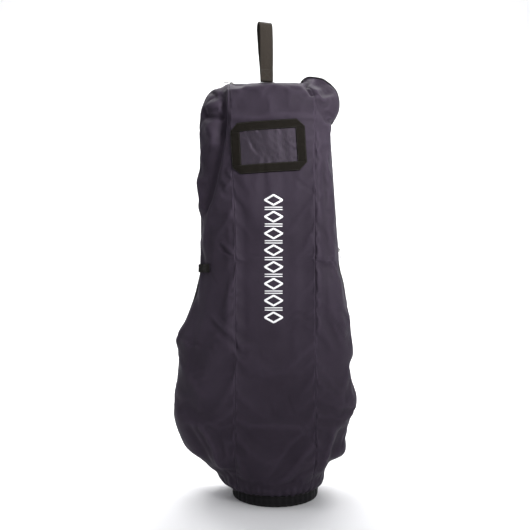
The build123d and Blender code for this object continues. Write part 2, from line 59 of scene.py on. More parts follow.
HEM_X, APEX_X = 30 * MM, 45 * MM
HEM_TOP = 32 * MM
HEM_RADIUS = 129 * MM
SLIT = (480 * MM, 690 * MM)
FOLD_Z = 702 * MM
CORNER = 18 * MM  # radius of the zip's lower corners
CROWN_Z = 1226 * MM

# Rows of the sleeve in millimetres: height, the ends and the front seams in X, the depths to the front and
# to the back, the roundness of the left and right sides, and the heights of the ends where they differ.
# An end that is None lies on the straight stretch of its side.
ROWS = [
    (32, -99, 159, -70, 118, 129, 129, 2.0, 2.0),
    (42, -121, 169, -76, 124, 138, 136, 2.0, 2.0),
    (70, -146, 178, -82, 132, 145, 143, 2.0, 2.1),
    (105, -192, 198, -84, 138, 151, 149, 2.1, 2.3),
    (141, -231, 238, -84, 141, 155, 153, 2.2, 2.5),
    (178, -249, 240, -84, 141, 158, 156, 2.3, 2.6),
    (231, -267, 254, -84, 141, 160, 159, 2.4, 2.8),
    (300, -267, 267, -83, 141, 160, 160, 2.4, 2.9),
    (357, -261, 255, -83, 141, 159, 159, 2.4, 3.0),
    (393, -258, 248, -82, 141, 158, 158, 2.4, 3.2),
    (429, -258, 256, -82, 141, 157, 157, 2.4, 3.2),
    (480, -258, 254, -82, 141, 154, 154, 2.3, 3.3),
    (520, -237, 251, -83, 141, 152, 152, 2.3, 3.3),
    (560, -221, 245, -84, 141, 150, 150, 2.3, 3.4),
    (625, -202, 236, -84, 141, 147, 147, 2.3, 3.5),
    (690, None, None, -84, 141, 142, 142, 2.3, 3.5),
    (696, None, None, -84, 141, 142, 142, 2.3, 3.5),
    (702, None, None, -84, 141, 142, 142, 2.3, 3.5),
    (708, None, None, -84, 141, 142, 142, 2.3, 3.5),
    (720, None, None, -84, 141, 141, 142, 2.3, 3.5),
    (800, None, None, -86, 141, 139, 141, 2.3, 3.5),
    (900, None, None, -91, 141, 137, 139, 2.3, 3.5),
    (1000, None, None, -96, 141, 134, 136, 2.3, 3.4),
    (1090, None, None, -100, 142, 129.5, 131.5, 2.3, 3.0),
    (1100, None, None, -100, 142, 129, 131, 2.3, 3.0),
    (1135, -192, 207, -102, 143, 122, 124, 2.2, 2.3, 1132, 1119),
    (1172, -183, 219.5, -103, 144, 112, 114, 2.1, 1.9, 1168, 1148),
    (1197, -172, 220, -104, 139, 98, 100, 2.0, 1.7, 1190, 1178),
    (1210, -161, 211, -105, 127, 75, 77, 2.0, 1.6, 1203, 1206),
]
# The zip's line over the hood: left corner, level run and right ear, by the share of each panel's width.
CROWN = [
    (0, -152, 1209), (0.2, -142, 1212), (0.4, -133, 1214.5), (0.6, -125, 1218), (0.8, -117, 1223.5),
    (1, -108, 1226), (1.125, -81.5, 1226), (1.5, -2, 1226), (1.875, 77.5, 1226), (2, 104, 1226),
    (2.25, 114, 1237), (2.5, 133, 1245.4), (2.75, 167, 1241), (3, 195, 1224),
]


SIDES = (("left", -1), ("right", 1))
UP = np.array((0.0, 0.0, 1.0))
POCKET_X, POCKET_Z = 10 * MM, 1018 * MM
LOOP_PIVOT = np.array((0.005, -0.048, 1.2210609))
ROW_PITCH = 5.2 * MM
FINE_STEPS = 6  # in each of the three short gaps about the zip's level run


def run_x(side, z):
    """X of the straight stretch of a side, in millimetres."""
    low, high = (-190.5, -194.0) if side < 0 else (221.4, 193.5)
    return low + (high - low) * (z - 690) / 410


# ---- The sleeve's surface as a grid of points ----
COLUMNS = (38, 46, 36)  # steps across the left gusset, the front panel and the right gusset
SEAM_SHARES = (0.008, 0.018, 0.03)  # more columns close to a seam


def shares(count, seam_low, seam_high):
    """Where a panel's columns are, as shares of its width."""
    found = set(np.linspace(0, 1, count + 1))
    found |= set(SEAM_SHARES) if seam_low else set()
    found |= {1 - s for s in SEAM_SHARES} if seam_high else set()
    return np.array(sorted(found))


SHARES = (shares(COLUMNS[0], False, True), shares(COLUMNS[1], True, True), shares(COLUMNS[2], True, False))
SEAM_L = len(SHARES[0]) - 1
SEAM_R = SEAM_L + len(SHARES[1]) - 1
LAST = SEAM_R + len(SHARES[2]) - 1


def lengths(points):
    """Distance along a polyline of each of its points."""
    steps = np.linalg.norm(np.diff(points, axis=0), axis=1)
    return np.concatenate([[0], np.cumsum(steps)])


def sampled(values, reach, at):
    """Values known at the distances reach, at other distances."""
    return np.stack([np.interp(at, reach, values[:, k]) for k in range(values.shape[1])], axis=1)


def at_lengths(points, wanted):
    """Points of a polyline at the wanted distances along it."""
    return sampled(points, lengths(points), wanted)


def at_shares(lines):
    """A row of points at the columns of the three panels, from a line across each."""
    placed = [at_lengths(line, cut * lengths(line)[-1]) for line, cut in zip(lines, SHARES)]
    return np.concatenate([placed[0], placed[1][1:], placed[2][1:]]) * MM


def unit(vectors):
    return vectors / np.linalg.norm(vectors, axis=-1, keepdims=True)


def hermite(t, gap, start, end, start_slope, end_slope):
    """A cubic from start to end over a gap, with a slope at each."""
    return (
        (2 * t**3 - 3 * t**2 + 1) * start
        + (t**3 - 2 * t**2 + t) * gap * start_slope
        + (3 * t**2 - 2 * t**3) * end
        + (t**3 - t**2) * gap * end_slope
    )


def quads_of(height, width, offset=0, flip=False, closed=False):
    """Faces of a grid of points; closed joins its last column to its first."""
    index = np.arange(height * width).reshape(height, width) + offset
    if closed:
        index = np.concatenate([index, index[:, :1]], axis=1)
    quads = np.stack([index[:-1, :-1], index[:-1, 1:], index[1:, 1:], index[1:, :-1]], axis=-1).reshape(-1, 4)
    return quads[:, ::-1] if flip else quads


def add(name, data):
    """A new object in the scene."""
    made = bpy.data.objects.new(name, data)
    bpy.context.scene.collection.objects.link(made)
    return made


def section(row, front):
    """A row's points at the columns of all three panels."""
    z, left, right, seam_left, seam_right, deep_front, deep_back, round_left, round_right, *ends = row
    left_z, right_z = ends or (z, z)
    left = run_x(-1, z) if left is None else left
    right = run_x(1, z) if right is None else right
    apex = 1000 * (HEM_X + (APEX_X - HEM_X) * min(1, (z - 32) / 200))
    deep = deep_front if front else deep_back
    quarter = math.pi / 2
    angle_left = math.acos(((apex - seam_left) / (apex - left)) ** (round_left / 2))
    angle_right = math.acos(((seam_right - apex) / (right - apex)) ** (round_right / 2))
    fine = np.linspace(0, 1, 240)
    parts = [
        [(left, left_z, round_left, angle_left * fine**2.2)],
        [
            (left, left_z, round_left, angle_left + (quarter - angle_left) * fine),
            (right, right_z, round_right, quarter + (angle_right - quarter) * fine),
        ],
        [(right, right_z, round_right, angle_right * fine[::-1] ** 2.2)],
    ]
    lines = []
    for part in parts:
        line = []
        for end, end_z, power, angle in part:
            x = apex + (end - apex) * np.cos(angle).clip(0) ** (2 / power)
            y = 6 + (deep - 6) * np.sin(angle) ** (2 / power)
            line.append(np.stack([x, -y if front else y, z + (end_z - z) * np.cos(angle) ** 2], axis=1))
        lines.append(np.concatenate(line))
    return at_shares(lines)


def monotone(at, xs, ys):
    """A smooth curve through the points that never overshoots them."""
    steps = np.diff(xs)
    slopes = np.diff(ys) / steps
    tangents = np.zeros(len(xs))
    tangents[0], tangents[-1] = slopes[0], slopes[-1]
    same = slopes[:-1] * slopes[1:] > 0
    weights = np.where(same, slopes[:-1] + slopes[1:], 1)
    tangents[1:-1] = np.where(same, 2 * slopes[:-1] * slopes[1:] / weights, 0)
    k = np.clip(np.searchsorted(xs, at, side="right") - 1, 0, len(steps) - 1)
    t = (at - xs[k]) / steps[k]
    return hermite(t, steps[k], ys[k], ys[k + 1], tangents[k], tangents[k + 1])


def crown_row(front):
    """The panels' edge along the zip over the hood."""
    table = np.array(CROWN)
    fine = np.linspace(0, 3, 1201)
    x, z = (monotone(fine, table[:, 0], table[:, k]) for k in (1, 2))
    line = np.stack([x, np.full(len(fine), -6.0 if front else 6.0), z], axis=1)
    return at_shares([line[k * 400 : k * 400 + 401] for k in range(3)])


def smooth_rows(stations, steps):
    """Rows through the stations, smooth along every column, with so many steps in each gap."""
    gaps = np.maximum(np.linalg.norm(np.diff(stations, axis=0), axis=2), 1e-6)[..., None]
    slopes = np.diff(stations, axis=0) / gaps
    tangents = np.empty_like(stations)
    tangents[0], tangents[-1] = slopes[0], slopes[-1]
    tangents[1:-1] = (gaps[1:] * slopes[:-1] + gaps[:-1] * slopes[1:]) / (gaps[1:] + gaps[:-1])
    rows = [
        hermite(t, gaps[j], stations[j], stations[j + 1], tangents[j], tangents[j + 1])
        for j, count in enumerate(steps)
        for t in np.arange(count) / count
    ]
    return np.array([*rows, stations[-1]])


STATIONS = {front: np.array([section(row, front) for row in ROWS] + [crown_row(front)]) for front in (True, False)}
ROW_STEPS = [
    max(2, round(np.linalg.norm(high - low, axis=1).mean() / ROW_PITCH))
    for low, high in zip(STATIONS[True], STATIONS[True][1:])
]
FIRST_FINE = [row[0] for row in ROWS].index(696)
ROW_STEPS[FIRST_FINE : FIRST_FINE + 3] = [FINE_STEPS] * 3
STATION_ROW = {row[0]: int(sum(ROW_STEPS[:j])) for j, row in enumerate(ROWS)}


def normals_of(grid, front):
    """Outward unit normals of a grid."""
    across = np.gradient(grid, axis=1)
    up = np.gradient(grid, axis=0)
    normal = np.cross(across, up) if front else np.cross(up, across)
    return normal / np.maximum(np.linalg.norm(normal, axis=2, keepdims=True), 1e-9)


def smoothstep(low, high, value):
    t = np.clip((value - low) / (high - low), 0, 1)
    return t * t * (3 - 2 * t)


# ---- Creases, listed one by one ----
def crease(plane, path, depth, near, far=None, fade=0.3):
    """A fold along a path in the plane of the given points: depth outward in metres, near and far its
    half-widths to the left and right of the path, and fade the share of it that tapers at each end."""
    far = near if far is None else far
    path = np.array(path) * MM
    total = lengths(path)
    best = np.full(plane.shape[:2], 1e9)
    signed = np.zeros_like(best)
    along = np.zeros_like(best)
    for k in range(len(path) - 1):
        a, b = path[k], path[k + 1]
        step = b - a
        share = np.clip(((plane - a) @ step) / (step @ step), 0, 1)
        gap = plane - (a + share[..., None] * step)
        far_off = np.linalg.norm(gap, axis=2)
        side = step[0] * gap[..., 1] - step[1] * gap[..., 0]
        nearer = far_off < best
        best = np.where(nearer, far_off, best)
        signed = np.where(nearer, np.sign(side), signed)
        along = np.where(nearer, (total[k] + share * np.linalg.norm(step)) / total[-1], along)
    width = np.where(signed >= 0, near, far) * MM
    taper = smoothstep(0, fade, along) * smoothstep(0, fade, 1 - along) if fade else 1
    return depth * MM * np.exp(-((best / width) ** 2)) * taper


FRONT_CREASES = [
    # the left corner stands out over the side, and the side tucks in beside the front panel
    ([(-113, 1196), (-118, 1130), (-129, 1050), (-147, 960), (-167, 880), (-186, 800), (-200, 740)], -13, 12, 24, 0.35),
    ([(-118, 1222), (-119, 1180), (-124, 1110), (-134, 1030)], -13, 8, 18, 0.2),
    ([(-186, 1128), (-162, 1120), (-140, 1121), (-128, 1112)], -12, 5, 15, 0.12),
    ([(-182, 1152), (-155, 1146), (-128, 1150)], 6, 18, 14, 0.25),
    ([(-186, 1142), (-160, 1136), (-138, 1138)], -5.5, 4, 8, 0.2),
    ([(-170, 1204), (-150, 1188), (-146, 1160)], -4, 6, 8, 0.25),
    ([(-190, 1098), (-172, 1090), (-156, 1060), (-160, 1010)], 8, 14, 16, 0.3),
    ([(-122, 960), (-108, 938), (-90, 915)], -3.0, 4, 7, 0.3),
    ([(-134, 925), (-122, 900), (-104, 876)], -3.0, 4, 7, 0.3),
    ([(-130, 944), (-116, 920), (-98, 896)], 2.4, 5, 6, 0.3),
    # the ear stands off the front
    ([(117, 1222), (126, 1196), (143, 1168)], -11, 8, 8, 0.2),
    ([(146, 1205), (162, 1180), (168, 1150)], 5, 16, 16, 0.3),
    ([(150, 1170), (166, 1150), (186, 1142)], -5, 9, 12, 0.3),
    ([(142, 1232), (168, 1212), (190, 1176)], -8, 18, 18, 0.2),
    ([(158, 1206), (172, 1176), (180, 1140)], -3.5, 8, 14, 0.25),
    ([(192, 1135), (182, 1115), (186, 1090)], -7, 10, 14, 0.3),
    # the crown's left end is a little lower than its middle
    ([(-104, 1218), (-84, 1214), (-52, 1216)], -5, 26, 20, 0.3),
    # long soft vertical folds
    ([(-66, 930), (-62, 760), (-60, 520), (-62, 380)], -3.5, 13, 16, 0.25),
    ([(-100, 900), (-102, 720), (-103, 540), (-101, 400)], 3.2, 9, 12, 0.2),
    ([(151, 1130), (153, 900), (152, 640), (150, 430)], 2.6, 8, 9, 0.15),
    ([(165, 1080), (168, 860), (170, 640), (168, 470)], -3.4, 9, 12, 0.2),
    ([(105, 930), (108, 700), (110, 480), (104, 300)], -2.2, 16, 14, 0.3),
    ([(60, 840), (66, 600), (62, 360)], -1.8, 20, 18, 0.3),
    # short diagonal creases at the left
    ([(-136, 752), (-116, 728), (-90, 708)], -4.0, 3.5, 6, 0.3),
    ([(-132, 760), (-108, 738), (-88, 722)], 2.6, 6, 8, 0.3),
    ([(-176, 548), (-146, 514), (-98, 482), (-74, 444), (-56, 424)], -3.3, 4.5, 10, 0.25),
    ([(-172, 562), (-140, 530), (-94, 498), (-66, 458)], 3.0, 7, 12, 0.25),
    ([(-206, 640), (-196, 560), (-214, 470), (-206, 380)], -5, 16, 16, 0.3),
    ([(-240, 430), (-214, 360), (-180, 320), (-140, 300)], 5, 18, 22, 0.3),
    ([(-236, 300), (-200, 262), (-160, 250)], -5, 16, 20, 0.3),
    # ridges where the sides turn in to the hem
    ([(-200, 250), (-172, 212), (-148, 170), (-134, 128), (-118, 84)], 7, 14, 6, 0.2),
    ([(-150, 236), (-130, 186), (-114, 126)], -5, 10, 12, 0.3),
    ([(-226, 240), (-198, 196), (-170, 150), (-150, 108)], -8, 8, 18, 0.2),
    ([(224, 238), (208, 190), (190, 140), (174, 94)], -8, 18, 8, 0.2),
    ([(202, 250), (192, 206), (176, 154), (160, 98), (152, 66)], 7, 6, 14, 0.2),
    ([(186, 230), (170, 170), (152, 110)], -4, 14, 14, 0.3),
    # soft diagonal folds rising from the hem
    ([(2, 58), (34, 110), (78, 176), (126, 220)], -5.5, 11, 16, 0.25),
    ([(30, 54), (66, 104), (112, 158), (150, 190)], 4.5, 10, 14, 0.25),
    ([(-60, 60), (-70, 120), (-96, 180)], 3, 12, 14, 0.3),
    ([(-86, 66), (-92, 130), (-84, 210)], -3, 10, 12, 0.3),
    ([(-60, 236), (30, 244), (140, 232)], 2.0, 10, 14, 0.25),
    ([(60, 62), (92, 96), (120, 120)], -2.6, 9, 10, 0.3),
]
SIDE_CREASES = [
    # (side, on the front, path in distance from the plane Y = 0 and in Z, depth, near, far, fade)
    (-1, True, [(30, 925), (34, 893), (32, 862)], 14, 26, 30, 0.0),
    (-1, True, [(30, 830), (36, 790), (30, 750)], -5, 18, 18, 0.3),
    (-1, True, [(26, 600), (44, 520), (30, 430)], 5, 18, 22, 0.3),
    (1, True, [(30, 900), (34, 700), (30, 560)], -4, 16, 18, 0.3),
    (1, True, [(60, 560), (48, 470), (40, 392)], -7, 10, 16, 0.3),
    (1, True, [(8, 392), (40, 388), (70, 396)], -8, 12, 10, 0.0),
    (1, True, [(8, 268), (40, 264), (80, 272)], 4, 40, 4, 0.0),
    (1, True, [(8, 236), (40, 232), (80, 240)], -8, 12, 34, 0.0),
    (1, True, [(8, 100), (40, 96), (80, 96)], -7, 26, 26, 0.0),
    (-1, True, [(8, 120), (40, 110), (90, 100)], -12, 34, 30, 0.0),
    (-1, True, [(8, 462), (44, 470), (80, 462)], 4, 6, 34, 0.0),
    (-1, False, [(34, 930), (46, 880), (36, 820)], 8, 24, 24, 0.2),
    (-1, False, [(30, 640), (50, 560), (34, 460)], -5, 18, 20, 0.3),
    (-1, False, [(26, 330), (60, 280), (90, 210)], 7, 18, 22, 0.3),
    (1, False, [(26, 404), (44, 390), (70, 380)], -7, 10, 14, 0.2),
    (1, False, [(30, 640), (46, 560), (40, 440)], -4, 14, 18, 0.3),
    (1, False, [(40, 300), (70, 240), (96, 170)], 7, 18, 22, 0.3),
]
BACK_CREASES = [
    ([(-60, 1190), (-40, 1100), (-50, 960), (-44, 800)], -4, 20, 16, 0.3),
    ([(96, 1180), (88, 1050), (98, 900), (90, 760)], -4, 18, 22, 0.3),
    ([(-120, 1180), (-136, 1090), (-142, 960), (-140, 800)], -7, 22, 18, 0.3),
    ([(-90, 640), (-40, 560), (20, 520), (90, 520)], -4.5, 10, 20, 0.3),
    ([(-80, 660), (-34, 584), (24, 546), (84, 548)], 3, 10, 18, 0.3),
    ([(130, 640), (100, 560), (110, 440), (90, 330)], -4, 16, 14, 0.3),
    ([(-70, 450), (-64, 330), (-70, 220)], -3.5, 14, 16, 0.3),
    ([(10, 60), (-20, 130), (-70, 190), (-120, 220)], -4, 13, 18, 0.25),
    ([(60, 58), (40, 140), (50, 230)], 3.4, 14, 16, 0.3),
    ([(104, 64), (120, 140), (160, 200)], -4, 12, 14, 0.3),
    ([(-206, 240), (-176, 190), (-140, 110), (-118, 70)], 8, 16, 9, 0.2),
    ([(206, 230), (186, 160), (160, 80)], 8, 10, 16, 0.2),
]


def pleats(points):
    """How far the gathers at the hem stand out, from -1 to 1, by the angle about the hem's middle."""
    turn = np.arctan2(points[..., 1], points[..., 0] - HEM_X)
    wave = np.sin(46 * turn + 1.4 * np.sin(3 * turn) + 0.9 * np.sin(7 * turn + 1))
    fold = np.sin(19 * turn + 1.2 * np.sin(4 * turn + 2))
    return (0.66 * wave + 0.34 * fold) * (0.75 + 0.25 * np.sin(5 * turn + 1))


def seam_dips(grid):
    """The two long seams pull in, and the fabric stands up a little beside them."""
    moved = np.zeros(grid.shape[:2])
    for column in (SEAM_L, SEAM_R):
        steps = np.linalg.norm(np.diff(grid, axis=1), axis=2)
        reach = np.concatenate([np.zeros((len(grid), 1)), np.cumsum(steps, axis=1)], axis=1)
        far_off = np.abs(reach - reach[:, column : column + 1]) / MM
        moved -= 1.3 * MM * np.exp(-((far_off / 2.0) ** 2))
        moved += 0.3 * MM * np.exp(-(((far_off - 7) / 4) ** 2))
    return moved


def crumple(grid):
    """Small creases left by packing: soft hills and a few sharper lines."""
    hills, lines = np.zeros(grid.shape[:2]), np.zeros(grid.shape[:2])
    for j, row in enumerate(grid):
        for i, point in enumerate(row):
            place = Vector(point)
            hills[j, i] = noise.noise(place * 16)
            lines[j, i] = abs(noise.noise(Vector((place.x * 9 + 4, place.y * 9, place.z * 6 + place.x * 5))))
    moved = 1.3 * MM * hills - 1.5 * MM * np.exp(-((lines / 0.045) ** 2)) * smoothstep(-0.1, 0.3, hills)
    return moved * smoothstep(EDGE, EDGE + 0.02, np.abs(grid[..., 1]))


def sculpted(grid, front):
    """The grid with its creases, gathers and seams."""
    normal = normals_of(grid, front)
    flat = grid[..., [0, 2]]
    moved = np.zeros(grid.shape[:2])
    for path, depth, near, far, fade in FRONT_CREASES if front else BACK_CREASES:
        moved += crease(flat, path, depth, near, far, fade)
    side_on = np.stack([np.abs(grid[..., 1]), grid[..., 2]], axis=2)
    for side, on_front, path, depth, near, far, fade in SIDE_CREASES:
        if on_front == front:
            here = smoothstep(0.02, 0.08, side * (grid[..., 0] - APEX_X) - 0.05)
            moved += crease(side_on, path, depth, near, far, fade) * here
    moved *= smoothstep(EDGE, EDGE + 0.014, np.abs(grid[..., 1]))
    ease = smoothstep(0.0, 0.016, CROWN_Z + 0.012 - grid[..., 2])
    moved = moved * np.where(np.abs(grid[..., 0] - 0.01) < 0.1, ease, 1)
    moved += crumple(grid)
    moved += pleats(grid) * 3.2 * MM * (1 - smoothstep(HEM_TOP, 0.1, grid[..., 2])) ** 1.5
    if front:
        foot = ((grid[..., 0] - LOOP_PIVOT[0]) / 0.034) ** 2 + ((grid[..., 1] - LOOP_PIVOT[1]) / 0.024) ** 2
        moved *= np.where(grid[..., 2] > 1.15, smoothstep(0.7, 2.2, foot), 1)
    moved += seam_dips(grid) * smoothstep(EDGE, EDGE + 0.02, np.abs(grid[..., 1]))
    return grid + normal * moved[..., None]


# ---- Cloth simulation on a coarse copy of the grid ----
GROWTH = 0.022  # the cloth is cut that much larger than the shape it hangs on
CAP = 7 * MM
FRAMES = 22
CLOTH = {
    "quality": 5, "mass": 0.15, "tension_stiffness": 12, "compression_stiffness": 12, "shear_stiffness": 4,
    "bending_stiffness": 0.15, "air_damping": 2, "shrink_min": -GROWTH, "vertex_group_mass": "pin",
}
GRAVITY = 0.35


def coarse(count, step, keep):
    return np.array(sorted(set(range(0, count, step)) | {count - 1} | set(keep)))


def simulate(grid, front):
    """How far a hanging cloth, sewn down at its edges, moves from the grid."""
    rows = coarse(len(grid), 2, [STATION_ROW[696], STATION_ROW[708]])
    columns = coarse(grid.shape[1], 2, [SEAM_L, SEAM_R])
    small = grid[rows][:, columns]
    height, width = small.shape[:2]
    jitter = np.array([noise.noise(Vector(p) * 37) for p in small.reshape(-1, 3)]).reshape(height, width)
    small = small + normals_of(small, front) * jitter[..., None] * 0.8 * MM
    mesh = bpy.data.meshes.new("cloth")
    mesh.from_pydata(small.reshape(-1, 3).tolist(), [], quads_of(height, width).tolist())
    cloth = add("cloth", mesh)
    pinned = np.zeros((height, width))
    pinned[:, [0, -1]] = 1
    pinned[:, np.isin(columns, (SEAM_L, SEAM_R))] = 0.9
    pinned[[0, -1]] = 1
    pinned = np.maximum(pinned, 0.6 * smoothstep(1.185, 1.205, small[..., 2]))
    if not front:
        level = (small[..., 2] > 0.69) & (small[..., 2] < 0.714)
        pinned[level] = 1
    else:
        pocket = (np.abs(small[..., 0] - POCKET_X) < 0.1) & (np.abs(small[..., 2] - POCKET_Z) < 0.075)
        pinned[pocket] = 0.5
        beside = (np.abs(small[..., 0] - LOOP_PIVOT[0]) < 0.036) & (np.abs(small[..., 1] + 0.05) < 0.03)
        pinned[beside & (small[..., 2] > 1.2)] = 1
    group = cloth.vertex_groups.new(name="pin")
    for k, weight in enumerate(pinned.ravel()):
        if weight > 0:
            group.add([k], float(weight), "REPLACE")
    modifier = cloth.modifiers.new("Cloth", "CLOTH")
    for key, value in CLOTH.items():
        setattr(modifier.settings, key, value)
    modifier.settings.effector_weights.gravity = GRAVITY
    modifier.collision_settings.use_collision = False
    scene = bpy.context.scene
    modifier.point_cache.frame_start, modifier.point_cache.frame_end = 1, FRAMES + 2
    for step in range(1, FRAMES + 1):
        scene.frame_set(step)
    shape = cloth.evaluated_get(bpy.context.evaluated_depsgraph_get()).to_mesh()
    found = np.zeros(height * width * 3, np.float32)
    shape.vertices.foreach_get("co", found)
    scene.frame_set(1)
    bpy.data.objects.remove(cloth)
    moved = found.reshape(height, width, 3).astype(float) - small
    size = np.linalg.norm(moved, axis=2, keepdims=True)
    moved *= np.tanh(size / CAP) * CAP / np.maximum(size, 1e-9)
    tall = sampled(moved.reshape(height, -1), rows, np.arange(len(grid))).reshape(-1, width, 3)
    wide = np.stack([sampled(line, columns, np.arange(grid.shape[1])) for line in tall])
    for axis in (0, 1):
        padded = np.concatenate([wide.take([0], axis), wide, wide.take([-1], axis)], axis)
        count = wide.shape[axis]
        before, here, after = (padded.take(range(k, k + count), axis) for k in range(3))
        wide = (before + 2 * here + after) / 4
    wide[:, [0, -1]] = 0
    wide[[0, -1]] = 0
    return wide


GRID = {}
NORMAL = {}
for on_front in (True, False):
    made = sculpted(smooth_rows(STATIONS[on_front], ROW_STEPS), on_front)
    made = made + simulate(made, on_front)
    GRID[on_front] = made
    NORMAL[on_front] = normals_of(made, on_front)


# ---- Materials ----
def feed(tree, socket, value):
    """Links a socket to another one, or sets it to a plain value."""
    if isinstance(value, bpy.types.NodeSocket):
        tree.links.new(value, socket)
    else:
        socket.default_value = (*value, 1) if socket.type == "RGBA" and len(value) == 3 else value


def node(tree, kind, **values):
    made = tree.nodes.new("ShaderNode" + kind)
    for key, value in values.items():
        if key in made.inputs:
            feed(tree, made.inputs[key], value)
        else:
            setattr(made, key, value)
    return made


def new_material(name, colour, roughness, **sockets):
    """(material, tree, Principled shader) with the values that are the same all over set on the shader."""
    material = bpy.data.materials.new(name)
    material.use_nodes = True
    tree = material.node_tree
    shader = tree.nodes["Principled BSDF"]
    shader.inputs["Base Color"].default_value = (*colour, 1)
    shader.inputs["Roughness"].default_value = roughness
    for key, value in sockets.items():
        shader.inputs[key.replace("_", " ")].default_value = value
    return material, tree, shader


def coordinates(tree, source="uv", scale=(1, 1, 1)):
    """Metres along the cloth from its own UV map, or metres in the frame."""
    if source == "uv":
        place = node(tree, "UVMap", uv_map="cloth").outputs["UV"]
    else:
        place = node(tree, "TexCoord").outputs["Object"]
    return node(tree, "Mapping", Vector=place, Scale=scale).outputs["Vector"]


def ramp(tree, factor, stops):
    made = node(tree, "ValToRGB", Fac=factor)
    elements = made.color_ramp.elements
    while len(elements) < len(stops):
        elements.new(0.5)
    for element, (position, colour) in zip(elements, stops):
        element.position = position
        element.color = (*colour, 1)
    return made.outputs["Color"]


def mixed(tree, factor, a, b):
    """A colour mix; factor, a and b are sockets or values."""
    made = node(tree, "Mix", data_type="RGBA", blend_type="MIX")
    for place, value in ((0, factor), (6, a), (7, b)):
        feed(tree, made.inputs[place], value)
    return made.outputs[2]


def maths(tree, operation, a, b=0.0):
    made = node(tree, "Math", operation=operation)
    feed(tree, made.inputs[0], a)
    feed(tree, made.inputs[1], b)
    return made.outputs[0]


def tinted(tree, base, factor, amount, colour, gain):
    """The base with an amount of a lighter or darker colour mixed in by a factor."""
    return mixed(tree, maths(tree, "MULTIPLY", factor, amount), base, tuple(c * gain for c in colour))


def noise_of(tree, vector, scale, detail=2.0, roughness=0.5):
    made = node(tree, "TexNoise", Vector=vector, Scale=scale, Detail=detail, Roughness=roughness)
    return made.outputs["Fac"]


def waves(tree, vector, pitch, direction):
    """Stripes of one pitch, in metres, along U or V of the cloth."""
    made = node(tree, "TexWave", Vector=vector, Scale=0.314 / pitch, wave_type="BANDS",
                bands_direction=direction, wave_profile="SIN")
    return made.outputs["Fac"]


def bumped(tree, shader, *layers):
    """Chains bump nodes, each (height, distance in metres, strength)."""
    normal = None
    for height, distance, strength in layers:
        bump = node(tree, "Bump", Height=height, Distance=distance, Strength=strength)
        if normal:
            feed(tree, bump.inputs["Normal"], normal)
        normal = bump.outputs["Normal"]
    feed(tree, shader.inputs["Normal"], normal)


def surfaced(tree, shader, base, roughness, factor, spread, *layers):
    """Gives a shader its colour, a roughness that a factor spreads about a value, and its bumps."""
    feed(tree, shader.inputs["Base Color"], base)
    rough = maths(tree, "ADD", maths(tree, "MULTIPLY", factor, spread), roughness - spread / 2)
    feed(tree, shader.inputs["Roughness"], rough)
    bumped(tree, shader, *layers)


def shell_material(name, dark, light, roughness, weave=0.5):
    """Plain-weave nylon: threads both ways, slubs, faint blotches, worn, paler raised folds, and seams darkened partly
    by dirt and partly by painted shade.
    """
    material, tree, shader = new_material(
        name, dark, roughness, Specular_IOR_Level=0.08, Sheen_Weight=0.02, Sheen_Roughness=0.4,
        Sheen_Tint=(0.75, 0.7, 0.9, 1),
    )
    cloth = coordinates(tree)
    warp = waves(tree, cloth, weave * MM, "X")
    weft = waves(tree, cloth, weave * MM, "Y")
    threads = maths(tree, "MULTIPLY", warp, weft)
    place = coordinates(tree, "object")
    blotch = noise_of(tree, place, 5.5, 4, 0.6)
    slub = noise_of(tree, coordinates(tree, "uv", (900, 60, 1)), 1, 2)
    base = ramp(tree, blotch, [(0.32, dark), (0.7, light)])
    base = tinted(tree, base, threads, 0.35, light, 1.6)
    base = tinted(tree, base, slub, 0.2, dark, 0.6)
    wear_and_shade = node(tree, "NewGeometry").outputs["Pointiness"]
    black, white = (0, 0, 0), (1, 1, 1)
    worn = ramp(tree, wear_and_shade, [(0.5, black), (0.53, white), (0.55, white), (0.57, black)])
    base = tinted(tree, base, worn, 0.2, light, 2.2)
    # painted shade, with some dirt: the panels' edges, which lie in the dips at the seams, are drawn towards a darker
    # copy of the cloth's colour
    sewn = ramp(tree, wear_and_shade, [(0.55, black), (0.62, white)])
    base = tinted(tree, base, sewn, 0.6, dark, 0.4)
    crumple = noise_of(tree, place, 24, 3, 0.55)
    ripple = noise_of(tree, coordinates(tree, "object", (1, 1, 0.35)), 85, 2, 0.5)
    surfaced(tree, shader, base, roughness, blotch, 0.16,
             (crumple, 2.2 * MM, 0.5), (ripple, 0.5 * MM, 0.35), (threads, 0.08 * MM, 0.5))
    return material


def webbing_material(name, dark, light, pitch=2.4 * MM, roughness=0.62):
    """Herringbone webbing: slanting yarns that turn about at each rib."""
    material, tree, shader = new_material(
        name, dark, roughness, Specular_IOR_Level=0.08, Sheen_Weight=0.015, Sheen_Roughness=0.4,
    )
    split = node(tree, "SeparateXYZ", Vector=coordinates(tree))
    rib = maths(tree, "PINGPONG", split.outputs["X"], pitch)
    slant = node(tree, "CombineXYZ", X=maths(tree, "ADD", split.outputs["Y"], rib))
    yarn = waves(tree, slant.outputs["Vector"], 1.1 * MM, "X")
    groove = maths(tree, "DIVIDE", rib, pitch)
    dust = noise_of(tree, coordinates(tree, "object"), 60, 3, 0.6)
    base = mixed(tree, yarn, dark, light)
    base = tinted(tree, base, dust, 0.35, light, 1.5)
    surfaced(tree, shader, base, roughness, dust, 0.2,
             (yarn, 0.35 * MM, 0.8), (groove, 0.3 * MM, 0.4), (dust, 0.4 * MM, 0.3))
    return material


